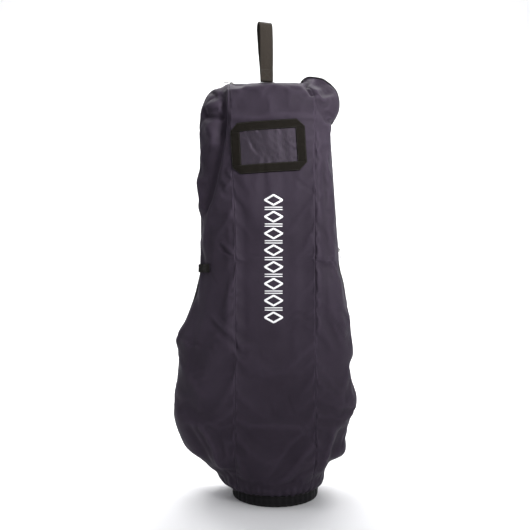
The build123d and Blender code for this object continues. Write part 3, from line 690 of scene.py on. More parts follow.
def ribbed_material(name, dark, light, pitch, roughness=0.7):
    """Grosgrain, elastic or knitted tape: ribs across the tape and a fine noise."""
    material, tree, shader = new_material(
        name, dark, roughness, Specular_IOR_Level=0.22, Sheen_Weight=0.04, Sheen_Roughness=0.5,
    )
    cloth = coordinates(tree)
    ribs = waves(tree, cloth, pitch * MM, "Y")
    cross = waves(tree, cloth, 0.55 * MM, "X")
    dust = noise_of(tree, coordinates(tree, "object"), 45, 3, 0.6)
    base = mixed(tree, ribs, dark, light)
    base = tinted(tree, base, dust, 0.4, light, 1.7)
    surfaced(tree, shader, base, roughness, dust, 0.2,
             (ribs, 0.3 * MM, 0.7), (cross, 0.12 * MM, 0.4), (dust, 0.3 * MM, 0.3))
    return material


def grained_material(name, dark, light, roughness, scale, depth, **sockets):
    """A grain that varies the colour, the roughness and the height: plastic, thread, print or metal."""
    material, tree, shader = new_material(name, dark, roughness, **sockets)
    place = coordinates(tree, "object")
    grain = noise_of(tree, place, scale, 4, 0.6)
    broad = noise_of(tree, place, scale / 9, 2, 0.5)
    base = mixed(tree, grain, dark, light)
    base = tinted(tree, base, broad, 0.4, dark, 0.7)
    surfaced(tree, shader, base, roughness, grain, 0.2, (grain, depth * MM, 0.5))
    return material


def window_material():
    """Clear soft PVC: see-through, with a gloss that its ripples break up and a faint haze."""
    material, tree, shader = new_material("clear_window", (0.42, 0.35, 0.45), 0.1, Specular_IOR_Level=0.5)
    clear = node(tree, "BsdfTransparent", Color=(0.98, 0.98, 0.985, 1))
    place = coordinates(tree, "object")
    ripple = noise_of(tree, coordinates(tree, "object", (1, 1, 0.18)), 42, 2, 0.5)
    haze = noise_of(tree, place, 30, 4, 0.6)
    bumped(tree, shader, (ripple, 3 * MM, 0.5), (haze, 0.1 * MM, 0.15))
    feed(tree, shader.inputs["Roughness"], maths(tree, "ADD", maths(tree, "MULTIPLY", haze, 0.12), 0.04))
    fresnel = node(tree, "Fresnel", IOR=1.5)
    mix = node(tree, "MixShader")
    amount = maths(tree, "ADD", fresnel.outputs["Fac"], maths(tree, "MULTIPLY", haze, 0.035))
    for socket, value in zip(mix.inputs, (amount, clear.outputs[0], shader.outputs[0])):
        feed(tree, socket, value)
    feed(tree, tree.nodes["Material Output"].inputs["Surface"], mix.outputs[0])
    return material


SHELL = shell_material("shell_nylon", (0.0194, 0.0146, 0.022), (0.0302, 0.0232, 0.0343), 0.66)
LINING = shell_material("lining_taffeta", (0.03, 0.03, 0.034), (0.05, 0.05, 0.056), 0.42, 0.35)
HEM = shell_material("hem_casing_cloth", (0.007, 0.0065, 0.0075), (0.012, 0.0115, 0.0125), 0.62, 0.6)
ELASTIC = ribbed_material("ribbed_elastic", (0.014, 0.014, 0.014), (0.035, 0.035, 0.035), 1.6)
BINDING = ribbed_material("grosgrain_binding", (0.009, 0.008, 0.009), (0.022, 0.02, 0.021), 1.0)
WEBBING = webbing_material("herringbone_webbing", (0.0028, 0.0021, 0.0013), (0.0078, 0.0062, 0.0043))
LOOP_WEBBING = webbing_material("loop_webbing", (0.015, 0.012, 0.0098), (0.037, 0.0305, 0.025))
TAPE = ribbed_material("zip_tape", (0.008, 0.008, 0.009), (0.02, 0.019, 0.022), 0.8)
COIL = grained_material("zip_coil_nylon", (0.012, 0.012, 0.013), (0.03, 0.03, 0.032), 0.34, 700, 0.05)
METAL = grained_material("nickel_plate", (0.36, 0.35, 0.34), (0.5, 0.49, 0.47), 0.26, 420, 0.05, Metallic=1.0)
THREAD = grained_material("thread", (0.008, 0.007, 0.009), (0.02, 0.017, 0.023), 0.6, 1500, 0.1)
BLACK_THREAD = grained_material("black_thread", (0.012, 0.011, 0.01), (0.04, 0.036, 0.03), 0.5, 1500, 0.1)
HOOKS = grained_material("hook_tape", (0.006, 0.006, 0.006), (0.03, 0.03, 0.03), 0.6, 1300, 0.6)
LOOPS = grained_material("loop_tape", (0.008, 0.008, 0.008), (0.035, 0.035, 0.036), 0.85, 900, 0.9)
PRINT = grained_material("white_print", (0.74, 0.74, 0.75), (0.84, 0.84, 0.85), 0.55, 260, 0.12)
WINDOW = window_material()


# ---- Meshes ----
def finish_mesh(name, points, faces, materials, uv=None, indices=None, body="cover", slot=None, stands_for=()):
    """A piece with smooth faces, its own UVs in metres, its body and the CAD nodes it stands for; its slot is not used.
    """
    mesh = bpy.data.meshes.new(name)
    mesh.from_pydata(np.asarray(points).tolist(), [], [list(map(int, face)) for face in faces])
    mesh.validate()
    for material in materials:
        mesh.materials.append(material)
    if indices is not None:
        mesh.polygons.foreach_set("material_index", np.asarray(indices, np.int32))
    mesh.polygons.foreach_set("use_smooth", [True] * len(mesh.polygons))
    layer = mesh.uv_layers.new(name="cloth")
    corner = np.zeros(len(mesh.loops), np.int32)
    mesh.loops.foreach_get("vertex_index", corner)
    flat = np.asarray(points)[:, [0, 2]] if uv is None else np.asarray(uv)
    layer.data.foreach_set("uv", flat[corner].ravel().astype(np.float32))
    mesh.update()
    piece = add(name, mesh)
    if body:
        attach(piece, body)
    if stands_for:
        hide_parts(*stands_for)
    return piece


def slab(outer, normal, thick, offset=0):
    """(points, [outer, inner and rim faces]) of a grid with an inner one so thick under it."""
    height, width = outer.shape[:2]
    count = height * width
    points = np.concatenate([outer.reshape(-1, 3), (outer - normal * thick).reshape(-1, 3)])
    flip = bool(np.cross(outer[0, 1] - outer[0, 0], outer[1, 0] - outer[0, 0]) @ normal[0, 0] < 0)
    index = np.arange(count).reshape(height, width) + offset
    rim = np.concatenate([index[0, :-1], index[:-1, -1], index[-1, :0:-1], index[:0:-1, 0]])
    after = np.roll(rim, -1)
    edge = np.stack([after, rim, rim + count, after + count], axis=1)
    outside, inside = quads_of(height, width, offset, flip), quads_of(height, width, offset + count, not flip)
    return points, [outside, inside, edge[:, ::-1] if flip else edge]


def wall(name, outer, normal, thick, materials, uv=None, **placing):
    """A closed wall, its last material on the inside."""
    height, width = outer.shape[:2]
    points, faces = slab(outer, normal, thick)
    kinds = np.repeat([0, len(materials) - 1, 0], [len(part) for part in faces])
    if uv is None:
        uv = np.stack(np.meshgrid(lengths(outer[height // 2]), lengths(outer[:, width // 2])), axis=-1)
    uv = np.concatenate([uv.reshape(-1, 2)] * 2)
    return finish_mesh(name, points, np.concatenate(faces), materials, uv, kinds, **placing)


def tube_faces(height, width, flip=False, closed=False):
    """Faces between rings of points; closed joins the last ring to the first."""
    faces = quads_of(height, width, 0, flip, True)
    if not closed:
        return faces
    last = quads_of(2, width, 0, flip, True)
    return np.concatenate([faces, np.where(last < width, last + (height - 1) * width, last - width)])


def swept(name, path, across, normal, profile, materials, closed=False, **placing):
    """A closed profile of (across, out) carried along a path."""
    across, normal = (np.broadcast_to(direction, path.shape) for direction in (across, normal))
    profile = np.array(profile) * MM
    rows = path[:, None] + across[:, None] * profile[None, :, 0:1] + normal[:, None] * profile[None, :, 1:2]
    height, width = rows.shape[:2]
    spin = np.cross(rows[0, 1] - rows[0, 0], rows[1, 0] - rows[0, 0]) @ (rows[0, :2].mean(0) - rows[0].mean(0))
    flip = bool(spin < 0)
    faces = tube_faces(height, width, flip, closed).tolist()
    if not closed:
        first = list(range(width))
        last = [k + (height - 1) * width for k in first]
        faces += [first if flip else first[::-1], last[::-1] if flip else last]
    around = lengths(np.concatenate([profile, profile[:1]]))[:-1]
    uv = np.stack(np.meshgrid(around, lengths(path)), axis=-1).reshape(-1, 2)
    return finish_mesh(name, rows.reshape(-1, 3), faces, materials, uv, **placing)


def ring_about(centre, a, b, wide, tall, corners):
    """Rings of points about the centres, in the planes of the directions a and b."""
    turn = np.linspace(0, 2 * math.pi, corners + 1)[:-1, None]
    return centre[:, None] + a[:, None] * np.cos(turn) * wide + b[:, None] * np.sin(turn) * tall


def bead_faces(block, flip, start=0):
    """Faces of closed beads, from their points by bead, ring and corner."""
    count, rings, corners = block.shape[:3]
    faces = []
    for first in start + np.arange(count) * rings * corners:
        faces += quads_of(rings, corners, first, flip, True).tolist()
        caps = [first + np.arange(corners), first + rings * corners - 1 - np.arange(corners)]
        faces += [cap if flip else cap[::-1] for cap in caps]
    return faces


def flat_profile(near, far, low, high, round_by=0.35):
    """A flat strip's section with rounded edges, in millimetres."""
    r = min(round_by, (high - low) / 2)
    steps = max(3, int(abs(far - near) / 2.5))
    top = [(near + r + (far - near - 2 * r) * k / steps, high) for k in range(steps + 1)]
    base = [(far - r - (far - near - 2 * r) * k / steps, low) for k in range(steps + 1)]
    middle = (low + high) / 2
    return top + [(far - 0.15 * r, high - 0.5 * r), (far, middle), (far - 0.15 * r, low + 0.5 * r)] + base + [
        (near + 0.15 * r, low + 0.5 * r), (near, middle), (near + 0.15 * r, high - 0.5 * r),
    ]


def oval(x, y, wide, tall, count):
    """A round section about (x, y)."""
    turn = np.linspace(0, 2 * math.pi, count + 1)[:-1]
    return np.stack([x + wide * np.cos(turn), y + tall * np.sin(turn)], axis=1)


class Stitching:
    """Collects rows of stitches, each a short thread that dips into the cloth at both ends."""

    def __init__(self):
        self.points = []
        self.faces = []

    def row(self, path, normal, pitch=3.6, long=2.7, thick=0.34, lift=0.12):
        normal = np.broadcast_to(normal, path.shape)
        reach = lengths(path)
        starts = np.arange(pitch / 2 * MM, reach[-1] - long * MM, pitch * MM)
        if len(starts) == 0:
            return
        rings = []
        for share, height in ((0, -0.35), (0.18, 0.6), (0.82, 0.6), (1, -0.35)):
            at = starts + share * long * MM
            out = unit(sampled(normal, reach, at))
            ahead = at_lengths(path, at + 0.2 * MM) - at_lengths(path, at - 0.2 * MM)
            ahead /= np.maximum(np.linalg.norm(ahead, axis=1, keepdims=True), 1e-12)
            centre = at_lengths(path, at) + out * (height * thick + lift) * MM
            size = thick * MM * (0.55 if height < 0 else 1)
            rings.append(ring_about(centre, np.cross(ahead, out), out, size, size * 0.8, 5))
        block = np.stack(rings, axis=1)
        self.faces += bead_faces(block, True, sum(len(p) for p in self.points))
        self.points.append(block.reshape(-1, 3))

    def made(self, name, material, **placing):
        return finish_mesh(name, np.concatenate(self.points), self.faces, [material], **placing)


# ---- The sewn panels ----
def cloth_uv(grid, rows, columns):
    """Metres across and up a panel, measured on the whole half so that the weave runs on."""
    part = grid[rows[0] : rows[1] + 1, columns[0] : columns[1] + 1]
    steps = np.linalg.norm(np.diff(part, axis=1), axis=2)
    u = np.concatenate([np.zeros((len(part), 1)), np.cumsum(steps, axis=1)], axis=1)
    u -= u[:, -1:] / 2
    rise = np.linalg.norm(np.diff(part, axis=0), axis=2).mean(1)
    v = np.concatenate([[0], np.cumsum(rise)])
    return np.stack([u, np.repeat(v[:, None], u.shape[1], axis=1)], axis=-1)


TOP = len(GRID[True]) - 1
UNDER_ZIP, OVER_ZIP = STATION_ROW[696], STATION_ROW[708]
LEFT, MIDDLE, RIGHT = (0, SEAM_L), (SEAM_L, SEAM_R), (SEAM_R, LAST)
WHOLE, LOWER, HOOD = (0, TOP), (0, UNDER_ZIP), (OVER_ZIP, TOP)


def from_edge(row, side):
    """A gusset's part of a row, from its edge to its seam; a view, so that it can be set."""
    return row[: SEAM_L + 1] if side < 0 else row[:SEAM_R - 1 : -1]


def round_corner(grid):
    """The hood's gussets start behind the zip's lower corners: their first points move back to the curve."""
    grid = grid.copy()
    inner = CORNER - EDGE
    for j in range(OVER_ZIP, STATION_ROW[720] + 1):
        height = max(0.0, FOLD_Z + CORNER - grid[j, 0, 2])
        start = CORNER - math.sqrt(max(0.0, inner**2 - min(height, inner) ** 2))
        for _, side in SIDES:
            line = from_edge(grid[j], side)
            reach = lengths(line)
            first = np.interp(start, line[:, 1], reach)
            line[:] = at_lengths(line, first + (reach[-1] - first) * reach / reach[-1])
    return grid


HOOD_GRID = round_corner(GRID[False])
HOOD_NORMAL = normals_of(HOOD_GRID, False)
# The panels: name, whether on the front, rows and columns, then greatest width, length and area as cut flat.
PANELS = [
    ("front_panel", True, WHOLE, MIDDLE, 0.262, 1.31, 0.300),
    ("left_front_gusset", True, WHOLE, LEFT, 0.275, 1.27, 0.245),
    ("right_front_gusset", True, WHOLE, RIGHT, 0.25, 1.27, 0.221),
    ("left_back_gusset", False, LOWER, LEFT, 0.275, 0.69, 0.158),
    ("right_back_gusset", False, LOWER, RIGHT, 0.25, 0.69, 0.137),
    ("hood_left_gusset", False, HOOD, LEFT, 0.185, 0.56, 0.084),
    ("hood_right_gusset", False, HOOD, RIGHT, 0.19, 0.57, 0.082),
    ("back_panel", False, WHOLE, MIDDLE, 0.262, 1.31, 0.298),
]


def make_panels():
    for name, front, rows, columns, width, length, area in PANELS:
        grid, normal = (HOOD_GRID, HOOD_NORMAL) if rows == HOOD else (GRID[front], NORMAL[front])
        body, nodes = "hood_flap" if rows == HOOD else "cover", [name]
        if name == "back_panel":  # one piece of cloth across the fold
            body, nodes = None, ["lower_back_panel", "hood_back_panel"]
        cut = (slice(rows[0], rows[1] + 1), slice(columns[0], columns[1] + 1))
        piece = wall(f"{name}_cloth", grid[cut], normal[cut], FABRIC, [SHELL, LINING],
                     cloth_uv(grid, rows, columns), body=body, slot="shell_fabric", stands_for=nodes)
        if body is None:
            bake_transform(piece)


make_panels()
FRONT_TREE = BVHTree.FromPolygons(GRID[True].reshape(-1, 3).tolist(), quads_of(*GRID[True].shape[:2]).tolist())


def front_at(x, z):
    """(point, outward normal) of the front's cloth at X and Z."""
    spots = []
    for dx, dz in ((0, 0), (3 * MM, 0), (-3 * MM, 0), (0, 3 * MM), (0, -3 * MM)):
        hit, _, _, _ = FRONT_TREE.ray_cast(Vector((x + dx, -1, z + dz)), Vector((0, 1, 0)))
        spots.append(np.array(hit))
    return spots[0], unit(np.cross(spots[1] - spots[2], spots[3] - spots[4]))


def on_front(flat, lift):
    """(points, normals) of a grid of (x, z) laid on the front and lifted off it."""
    laid = np.array([[front_at(x, z) for x, z in row] for row in flat])
    points, normals = laid[:, :, 0], laid[:, :, 1]
    return points + normals * np.broadcast_to(lift, flat.shape[:2])[..., None], normals


# ---- Edge lines of the sleeve ----
def edge_line(front, side, low, high):
    """(points, outward normals, directions away from the edge) of a panel's edge between two heights."""
    grid, normal = GRID[front], NORMAL[front]
    column = 0 if side < 0 else LAST
    step = 1 if side < 0 else -1
    inside = (grid[:, column, 2] >= low - 1e-6) & (grid[:, column, 2] <= high + 1e-6)
    points = grid[inside, column]
    away = grid[inside, column + 2 * step] - points
    out = normal[inside, column + step]
    away -= out * (away * out).sum(1, keepdims=True)
    return points, out, unit(away)


SEAM_TAPE = [
    (-7.6, 0.1), (-7.2, 0.75), (-4, 1.0), (0, 1.25), (4, 1.0), (7.2, 0.75), (7.6, 0.1), (6.2, -0.2), (5.6, -1.8),
    (0, -2.2), (-5.6, -1.8), (-6.2, -0.2),
]
SLIT_BINDING = [
    (9.4, 0.05), (9.2, 0.9), (8.6, 1.15), (4, 1.25), (0.4, 1.2), (-0.5, 0.7), (-0.8, -0.8), (-0.5, -2.2),
    (0.4, -2.7), (4, -2.75), (8.6, -2.65), (9.2, -2.4), (9.4, -1.6),
]


def make_side_seams():
    for name, side in SIDES:
        front_line, front_out, _ = edge_line(True, side, HEM_TOP - 0.001, SLIT[0])
        back_line, back_out, _ = edge_line(False, side, HEM_TOP - 0.001, SLIT[0])
        out, across = unit(front_out + back_out), unit(back_line - front_line)
        middle = (front_line + back_line) / 2
        swept(f"{name}_side_seam_tape", middle, across, out, SEAM_TAPE, [BINDING], slot="binding",
              stands_for=[f"{name}_side_seam"])
        rows = Stitching()
        for reach in (-5.2, 5.2):
            rows.row(middle + across * reach * MM, out, lift=0.85)
        rows.made(f"{name}_side_seam_stitches", BLACK_THREAD, slot="binding")


def make_slit_bindings():
    for name, side in SIDES:
        for half_name, front in (("front", True), ("back", False)):
            points, out, away = edge_line(front, side, SLIT[0] - 0.004, SLIT[1])
            swept(f"{name}_slit_{half_name}_binding", points, away, out, SLIT_BINDING, [BINDING], slot="binding",
                  stands_for=[f"{name}_slit_bindings"] if front else ())
            rows = Stitching()
            rows.row(points + away * 7.4 * MM, out, lift=1.15)
            rows.made(f"{name}_slit_{half_name}_stitches", BLACK_THREAD, slot="binding")


make_side_seams()
make_slit_bindings()


# ---- Hem ----
HEM_PROFILE = [  # depth outward and height: the outer face, the fold at the bottom and the inner face
    (-0.6, 33.5), (-1.9, 30.5), (-0.5, 26), (0.1, 20), (0.0, 12), (-0.3, 5), (-1.6, 1.2), (-3.2, 0.2),
    (-5.0, 0.6), (-6.2, 2.2), (-6.4, 8), (-6.3, 20), (-6.2, 28), (-5.4, 31.5), (-3.0, 32.4), (-3.4, 30.6),
    (-4.9, 29.5), (-5.0, 20), (-5.0, 3.2), (-4.2, 2.0), (-2.8, 1.9), (-1.9, 3.4), (-1.7, 12), (-1.7, 22),
    (-2.4, 28.5), (-2.8, 31.5), (-1.8, 34),
]
HEM_TALL = 34  # millimetres, with what is tucked into the shell


def gathered(z):
    """How far the gathers push the hem in and out at a height, in millimetres."""
    return 2.0 * (0.35 + 0.65 * math.sin(math.pi * min(1, max(0, z / HEM_TALL))))


def make_hem():
    count = 460
    turn = np.linspace(0, 2 * math.pi, count + 1)[:-1]
    ring = np.stack([HEM_X + HEM_RADIUS * np.cos(turn), HEM_RADIUS * np.sin(turn), np.zeros(count)], axis=1)
    out = np.stack([np.cos(turn), np.sin(turn), np.zeros(count)], axis=1)
    wave = pleats(ring)
    rows = []
    for depth, z in HEM_PROFILE:
        rows.append(ring + out * ((depth - 2.0 + gathered(z) * wave) * MM)[:, None] + np.array((0, 0, z * MM)))
    points = np.stack(rows, axis=1)
    around = lengths(np.array(HEM_PROFILE) * MM)
    uv = np.stack(np.meshgrid(around, turn * HEM_RADIUS), axis=-1).reshape(-1, 2)
    casing = finish_mesh("hem_casing_gathered", points.reshape(-1, 3),
                         tube_faces(count, len(HEM_PROFILE), closed=True), [HEM], uv, slot="hem_fabric",
                         stands_for=["hem_casing"])
    elastic_rows = ring + out * ((-5.1 + 0.5 * wave) * MM)[:, None]
    band = flat_profile(3.4, 27, -0.9, 0.9, 0.6)
    swept("hem_elastic_band", elastic_rows, UP, out, [(a, h * 0.6 + 1.0) for a, h in band], [ELASTIC], closed=True,
          slot="elastic", stands_for=["hem_elastic"])
    stitches = Stitching()
    for z, depth in ((28.5, -0.9), (6.0, -0.2)):
        line = ring + out * ((depth - 2.0 + gathered(z) * wave) * MM)[:, None]
        line = np.concatenate([line, line[:1]]) + np.array((0, 0, z * MM))
        stitches.row(line, np.concatenate([out, out[:1]]), pitch=4.2, long=3.2)
    stitches.made("hem_stitches", BLACK_THREAD, slot="hem_fabric")


make_hem()


# ---- Zip ----
def chain():
    """(points, outward, towards the cover) all along the zip, evenly spaced."""

    def level(side):
        line = from_edge(GRID[False][STATION_ROW[702]], side)
        start = np.interp(CORNER, line[:, 1], lengths(line))
        found = at_lengths(line, np.linspace(start, lengths(line)[-1], 60))
        ahead = np.gradient(found, axis=0)
        out = np.stack([-ahead[:, 1], ahead[:, 0], np.zeros(60)], axis=1) * (1 if side < 0 else -1)
        return found, unit(out), np.tile([0.0, 0.0, -1.0], (60, 1))

    def corner(side, joint):
        angle = np.linspace(0, math.pi / 2, 20)[1:-1]
        y = CORNER * (1 - np.cos(angle))
        z = FOLD_Z + CORNER * (1 - np.sin(angle))
        x = np.array([run_x(side, value / MM) * MM for value in z])
        x = x + (joint[0] - run_x(side, 702) * MM) * (y / CORNER) ** 2
        found = np.stack([x, y, z], axis=1)
        out = np.tile([float(side), 0.0, 0.0], (18, 1))
        return found, out, np.stack([np.zeros(18), -np.cos(angle), -np.sin(angle)], axis=1)

    def upper():
        edge = GRID[True]
        above = STATION_ROW[720]
        path = np.concatenate([edge[above:, 0], edge[-1, 1:-1], edge[above:, -1][::-1]])
        path[:, 1] = 0
        ahead = np.gradient(path, axis=0)
        out = np.stack([-ahead[:, 2], np.zeros(len(path)), ahead[:, 0]], axis=1)
        return path, unit(out), np.tile([0.0, -1.0, 0.0], (len(path), 1))

    left_level, right_level = level(-1), level(1)
    left_corner, right_corner = corner(-1, left_level[0][0]), corner(1, right_level[0][0])
    runs = [[part[::-1] for part in run] for run in (left_level, left_corner)]
    points, outs, sides = (np.concatenate(part) for part in zip(*runs, upper(), right_corner, right_level))
    reach = lengths(points)
    at = np.linspace(0, reach[-1], int(reach[-1] / (2.5 * MM)))
    return sampled(points, reach, at), unit(sampled(outs, reach, at)), unit(sampled(sides, reach, at))


CHAIN = chain()


TOOTH_PITCH = 2.0 * MM
TOOTH = [  # rings of a tooth: distance from the zip's middle, lift, height and width
    (0.45, 0, 0.5, 0.5), (0.65, 0, 1.2, 0.82), (1.2, 0, 1.3, 0.86), (2.2, -0.1, 1.15, 0.62),
    (3.1, -0.3, 0.9, 0.6), (3.4, -0.4, 0.4, 0.3),
]


def make_coil(name, sign, body, node_name, shift):
    """Coil teeth along one half of the chain, each a bent loop of thick monofilament."""
    reach = lengths(CHAIN[0])
    at = np.arange((0.5 + shift) * TOOTH_PITCH, reach[-1] - 1.5 * MM, TOOTH_PITCH)
    here, out, side = (sampled(values, reach, at) for values in CHAIN)
    side = side * sign
    ahead = np.cross(side, out)
    rings = []
    for reach_out, lift, tall, wide in TOOTH:
        centre = here + side * reach_out * MM + out * lift * MM
        rings.append(ring_about(centre, ahead, out, wide * MM, tall * MM, 6))
    block = np.stack(rings, axis=1)
    return finish_mesh(name, block.reshape(-1, 3), bead_faces(block, sign < 0), [COIL], body=body,
                       slot="zip_coil", stands_for=[node_name])


def make_zip():
    points, outs, sides = CHAIN
    for name, sign, body in (("front", 1, "cover"), ("back", -1, "hood_flap")):
        swept(f"zip_{name}_tape", points, sides * sign, outs, flat_profile(1.4, 11, -2.3, -1.75, 0.25), [TAPE],
              body=body, slot="zip_tape", stands_for=[f"zip_tape_{name}"])
        make_coil(f"zip_{name}_coil_teeth", sign, body, f"zip_coil_{name}", 0 if sign > 0 else 0.5)
        core = [(3.2 + 0.55 * math.cos(a), -0.9 + 0.6 * math.sin(a)) for a in np.linspace(0, 5.5, 8)]
        swept(f"zip_{name}_coil_core", points, sides * sign, outs, core, [TAPE], body=body, slot="zip_tape")


make_zip()


def inset(grid, normal, edge, distance=2.6 * MM):
    """(points, normals) of a line on the cloth, so far in from one edge of a grid."""
    turns = {"start": lambda g: g, "end": lambda g: g[:, ::-1], "low": lambda g: g.transpose(1, 0, 2),
             "top": lambda g: g[::-1].transpose(1, 0, 2)}
    lines = turns[edge](grid)[:, :9]
    return np.array([at_lengths(line, [distance])[0] for line in lines]), turns[edge](normal)[:, 1]


def make_zip_stitches():
    front, front_normal = GRID[True], NORMAL[True]
    above = STATION_ROW[720]
    rows = Stitching()
    for edge in ("start", "end"):
        rows.row(*inset(front[above:], front_normal[above:], edge))
    rows.row(*inset(front, front_normal, "top"))
    for low, high in (LEFT, RIGHT):
        cut = (slice(0, UNDER_ZIP + 1), slice(low, high + 1))
        rows.row(*inset(GRID[False][cut], NORMAL[False][cut], "top"))
    rows.made("zip_front_topstitches", THREAD, slot="zip_tape")
    hood, hood_normal = HOOD_GRID[OVER_ZIP:], HOOD_NORMAL[OVER_ZIP:]
    rows = Stitching()
    for edge in ("start", "end", "top"):
        rows.row(*inset(hood, hood_normal, edge))
    for low, high in (LEFT, RIGHT):
        rows.row(*inset(hood[:, low : high + 1], hood_normal[:, low : high + 1], "low"))
    rows.made("zip_back_topstitches", THREAD, body="hood_flap", slot="zip_tape")


make_zip_stitches()


PATCH_FRONT, PATCH_BACK = -6.6 * MM, 6.4 * MM


def make_patches():
    """The patches between the slits' tops and the zip's corners."""
    for name, side in SIDES:
        _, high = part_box(f"{name}_slit_patch")
        rows = []
        for z in np.linspace(SLIT[1] - 0.003, high.z + 0.001, 14):
            reach = CORNER + EDGE
            corner_y = CORNER - math.sqrt(max(0.0, reach**2 - max(0.0, FOLD_Z + CORNER - z) ** 2))
            back = min(PATCH_BACK, max(corner_y, -6.2 * MM)) if z > 0.696 else PATCH_BACK
            x = run_x(side, z / MM) * MM
            rows.append([
                (x + side * (0.4 + 0.5 * math.sin(math.pi * share)) * MM, PATCH_FRONT + (back - PATCH_FRONT) * share, z)
                for share in np.linspace(0, 1, 9)
            ])
        grid = np.array(rows)
        normal = np.tile([float(side), 0.0, 0.0], (*grid.shape[:2], 1))
        wall(f"{name}_slit_patch_cloth", grid, normal, 1.4 * MM, [BINDING], slot="binding",
             stands_for=[f"{name}_slit_patch"])


make_patches()


def make_ear_binding():
    """Piping round the right ear, beside the zip."""
    points, outs, sides = CHAIN
    chosen = (points[:, 0] > 0.103) & (points[:, 2] > 1.1) & (sides[:, 1] < -0.9)
    path, out, side = points[chosen], outs[chosen], sides[chosen]
    swept("ear_piping", path, side, out, oval(7.4, 0.9, 1.9, 1.7, 12), [BINDING], slot="binding",
          stands_for=["ear_binding"])


make_ear_binding()


# ---- Card pocket ----
POCKET_TILT = math.radians(3.5)
# In millimetres: half the frame's width and height, its webbing and the cut of its corners, and how far the
# window reaches under the webbing.
POCKET_WIDE, POCKET_TALL, POCKET_BAND, POCKET_CUT, WINDOW_LAP = 105.0, 73.5, 26.0, 22.0, 7.5
GLINTS = ((-66, 1.5), (-33, 1.7), (28, 1.9))  # puckers under the window's top edge: place and height


def pocket_flat(across, up):
    """X and Z of a place in the pocket's tilted rectangle, in millimetres from its middle."""
    c, s = math.cos(POCKET_TILT), math.sin(POCKET_TILT)
    return POCKET_X + (across * c - up * s) * MM, POCKET_Z + (across * s + up * c) * MM


def pocket_strip(name, node_name, rows):
    """A strip of webbing through rows of (across, up) pairs, laid on the front."""
    flat = np.array([[pocket_flat(*spot) for spot in row] for row in rows])
    lift = np.full(flat.shape[:2], 3.2 * MM)
    lift[[0, -1]] -= 0.35 * MM
    lift[:, [0, -1]] -= 0.35 * MM
    lift += np.array([[0.25 * MM * math.sin(90 * x + 60 * z) for x, z in row] for row in flat])
    points, normals = on_front(flat, lift)
    spots = np.array(rows) * MM
    uv = spots if "top" in name or "bottom" in name else spots[..., ::-1]
    return wall(name, points, normals, 1.5 * MM, [WEBBING], uv[..., ::-1], slot="webbing", stands_for=[node_name])


def make_pocket():
    w, h, b, cut = POCKET_WIDE, POCKET_TALL, POCKET_BAND, POCKET_CUT
    across = np.concatenate([np.linspace(-w, -w + cut, 6), np.linspace(-w + cut, w - cut, 44)[1:-1],
                             np.linspace(w - cut, w, 6)])
    for name, sign in (("top", 1), ("bottom", -1)):
        rows = [
            [(a, sign * ((h - b) + (b - max(0.0, abs(a) - (w - cut))) * share)) for a in across]
            for share in np.linspace(0, 1, 8)
        ]
        pocket_strip(f"pocket_webbing_{name}", f"label_frame_{name}", rows)
    for name, sign in SIDES:
        ups = np.linspace(-(h - b) + 0.2, h - b - 0.2, 26)
        rows = [[(sign * a, up) for a in np.linspace(w - b, w, 8)] for up in ups]
        pocket_strip(f"pocket_webbing_{name}", f"label_frame_{name}", rows)
    half_over, half_up = w - b + WINDOW_LAP, h - b + WINDOW_LAP
    overs, ups = np.linspace(-half_over, half_over, 90)[None], np.linspace(-half_up, half_up, 60)[:, None]
    flat = np.stack(pocket_flat(overs, ups), axis=-1)
    droop = 0.35 * np.sin(0.11 * overs + 0.9 * np.sin(0.03 * ups)) * np.cos(0.02 * ups)
    droop = droop + 0.25 * np.sin(0.23 * overs + 1.3 + 0.02 * ups)
    ease = np.clip((np.minimum(half_up - np.abs(ups), half_over - np.abs(overs)) - 4) / 9, 0, 1)
    pucker = 0
    for place, tall in GLINTS:
        pucker = pucker + tall * np.exp(-(((overs - place) / 3.4) ** 2)) * np.exp(-(((ups - h + b + 2.5) / 3.2) ** 2))
    points, normals = on_front(flat, (1.15 + 0.75 * droop * ease + pucker) * MM)
    window = wall("pocket_clear_window", points, normals, 0.35 * MM, [WINDOW], slot="clear_window",
                  stands_for=["label_window"])
    stitches = Stitching()
    over, up = w - cut + 0.8, h - cut + 0.8
    outline = [(-over, h - 2), (over, h - 2), (w - 2, up), (w - 2, -up),
               (over, 2 - h), (-over, 2 - h), (2 - w, -up), (2 - w, up)]
    over, up = w - b + 2.2, h - b + 2.2
    inner = [(-over, up), (over, up), (over, -up), (-over, -up)]
    for loop in (outline, inner):
        closed = np.array(loop + loop[:1])
        fine = at_lengths(closed, np.arange(0, lengths(closed)[-1], 4.0))
        flat = np.array([[pocket_flat(*spot) for spot in fine]])
        line, out = on_front(flat, 3.15 * MM)
        stitches.row(line[0], out[0], pitch=3.4, long=2.6, thick=0.3)
    stitches.made("pocket_stitches", BLACK_THREAD, slot="webbing")


make_pocket()


# ---- Printed motif: a plain column of lozenges and bars, with no lettering ----
def stroke(path, wide, closed=False):
    """Left and right edges of a stroke of one width along a path in millimetres."""
    path = np.array(path + path[:1] if closed else path, float)
    fine = at_lengths(path, np.linspace(0, lengths(path)[-1], max(4, int(lengths(path)[-1] / 2.2))))
    ahead = np.gradient(fine, axis=0)
    if closed:
        ahead[0] = ahead[-1] = fine[1] - fine[-2]
    side = unit(np.stack([-ahead[:, 1], ahead[:, 0]], axis=1))
    return np.stack([fine + side * wide / 2 * s for s in (-1, -0.33, 0.33, 1)], axis=1)


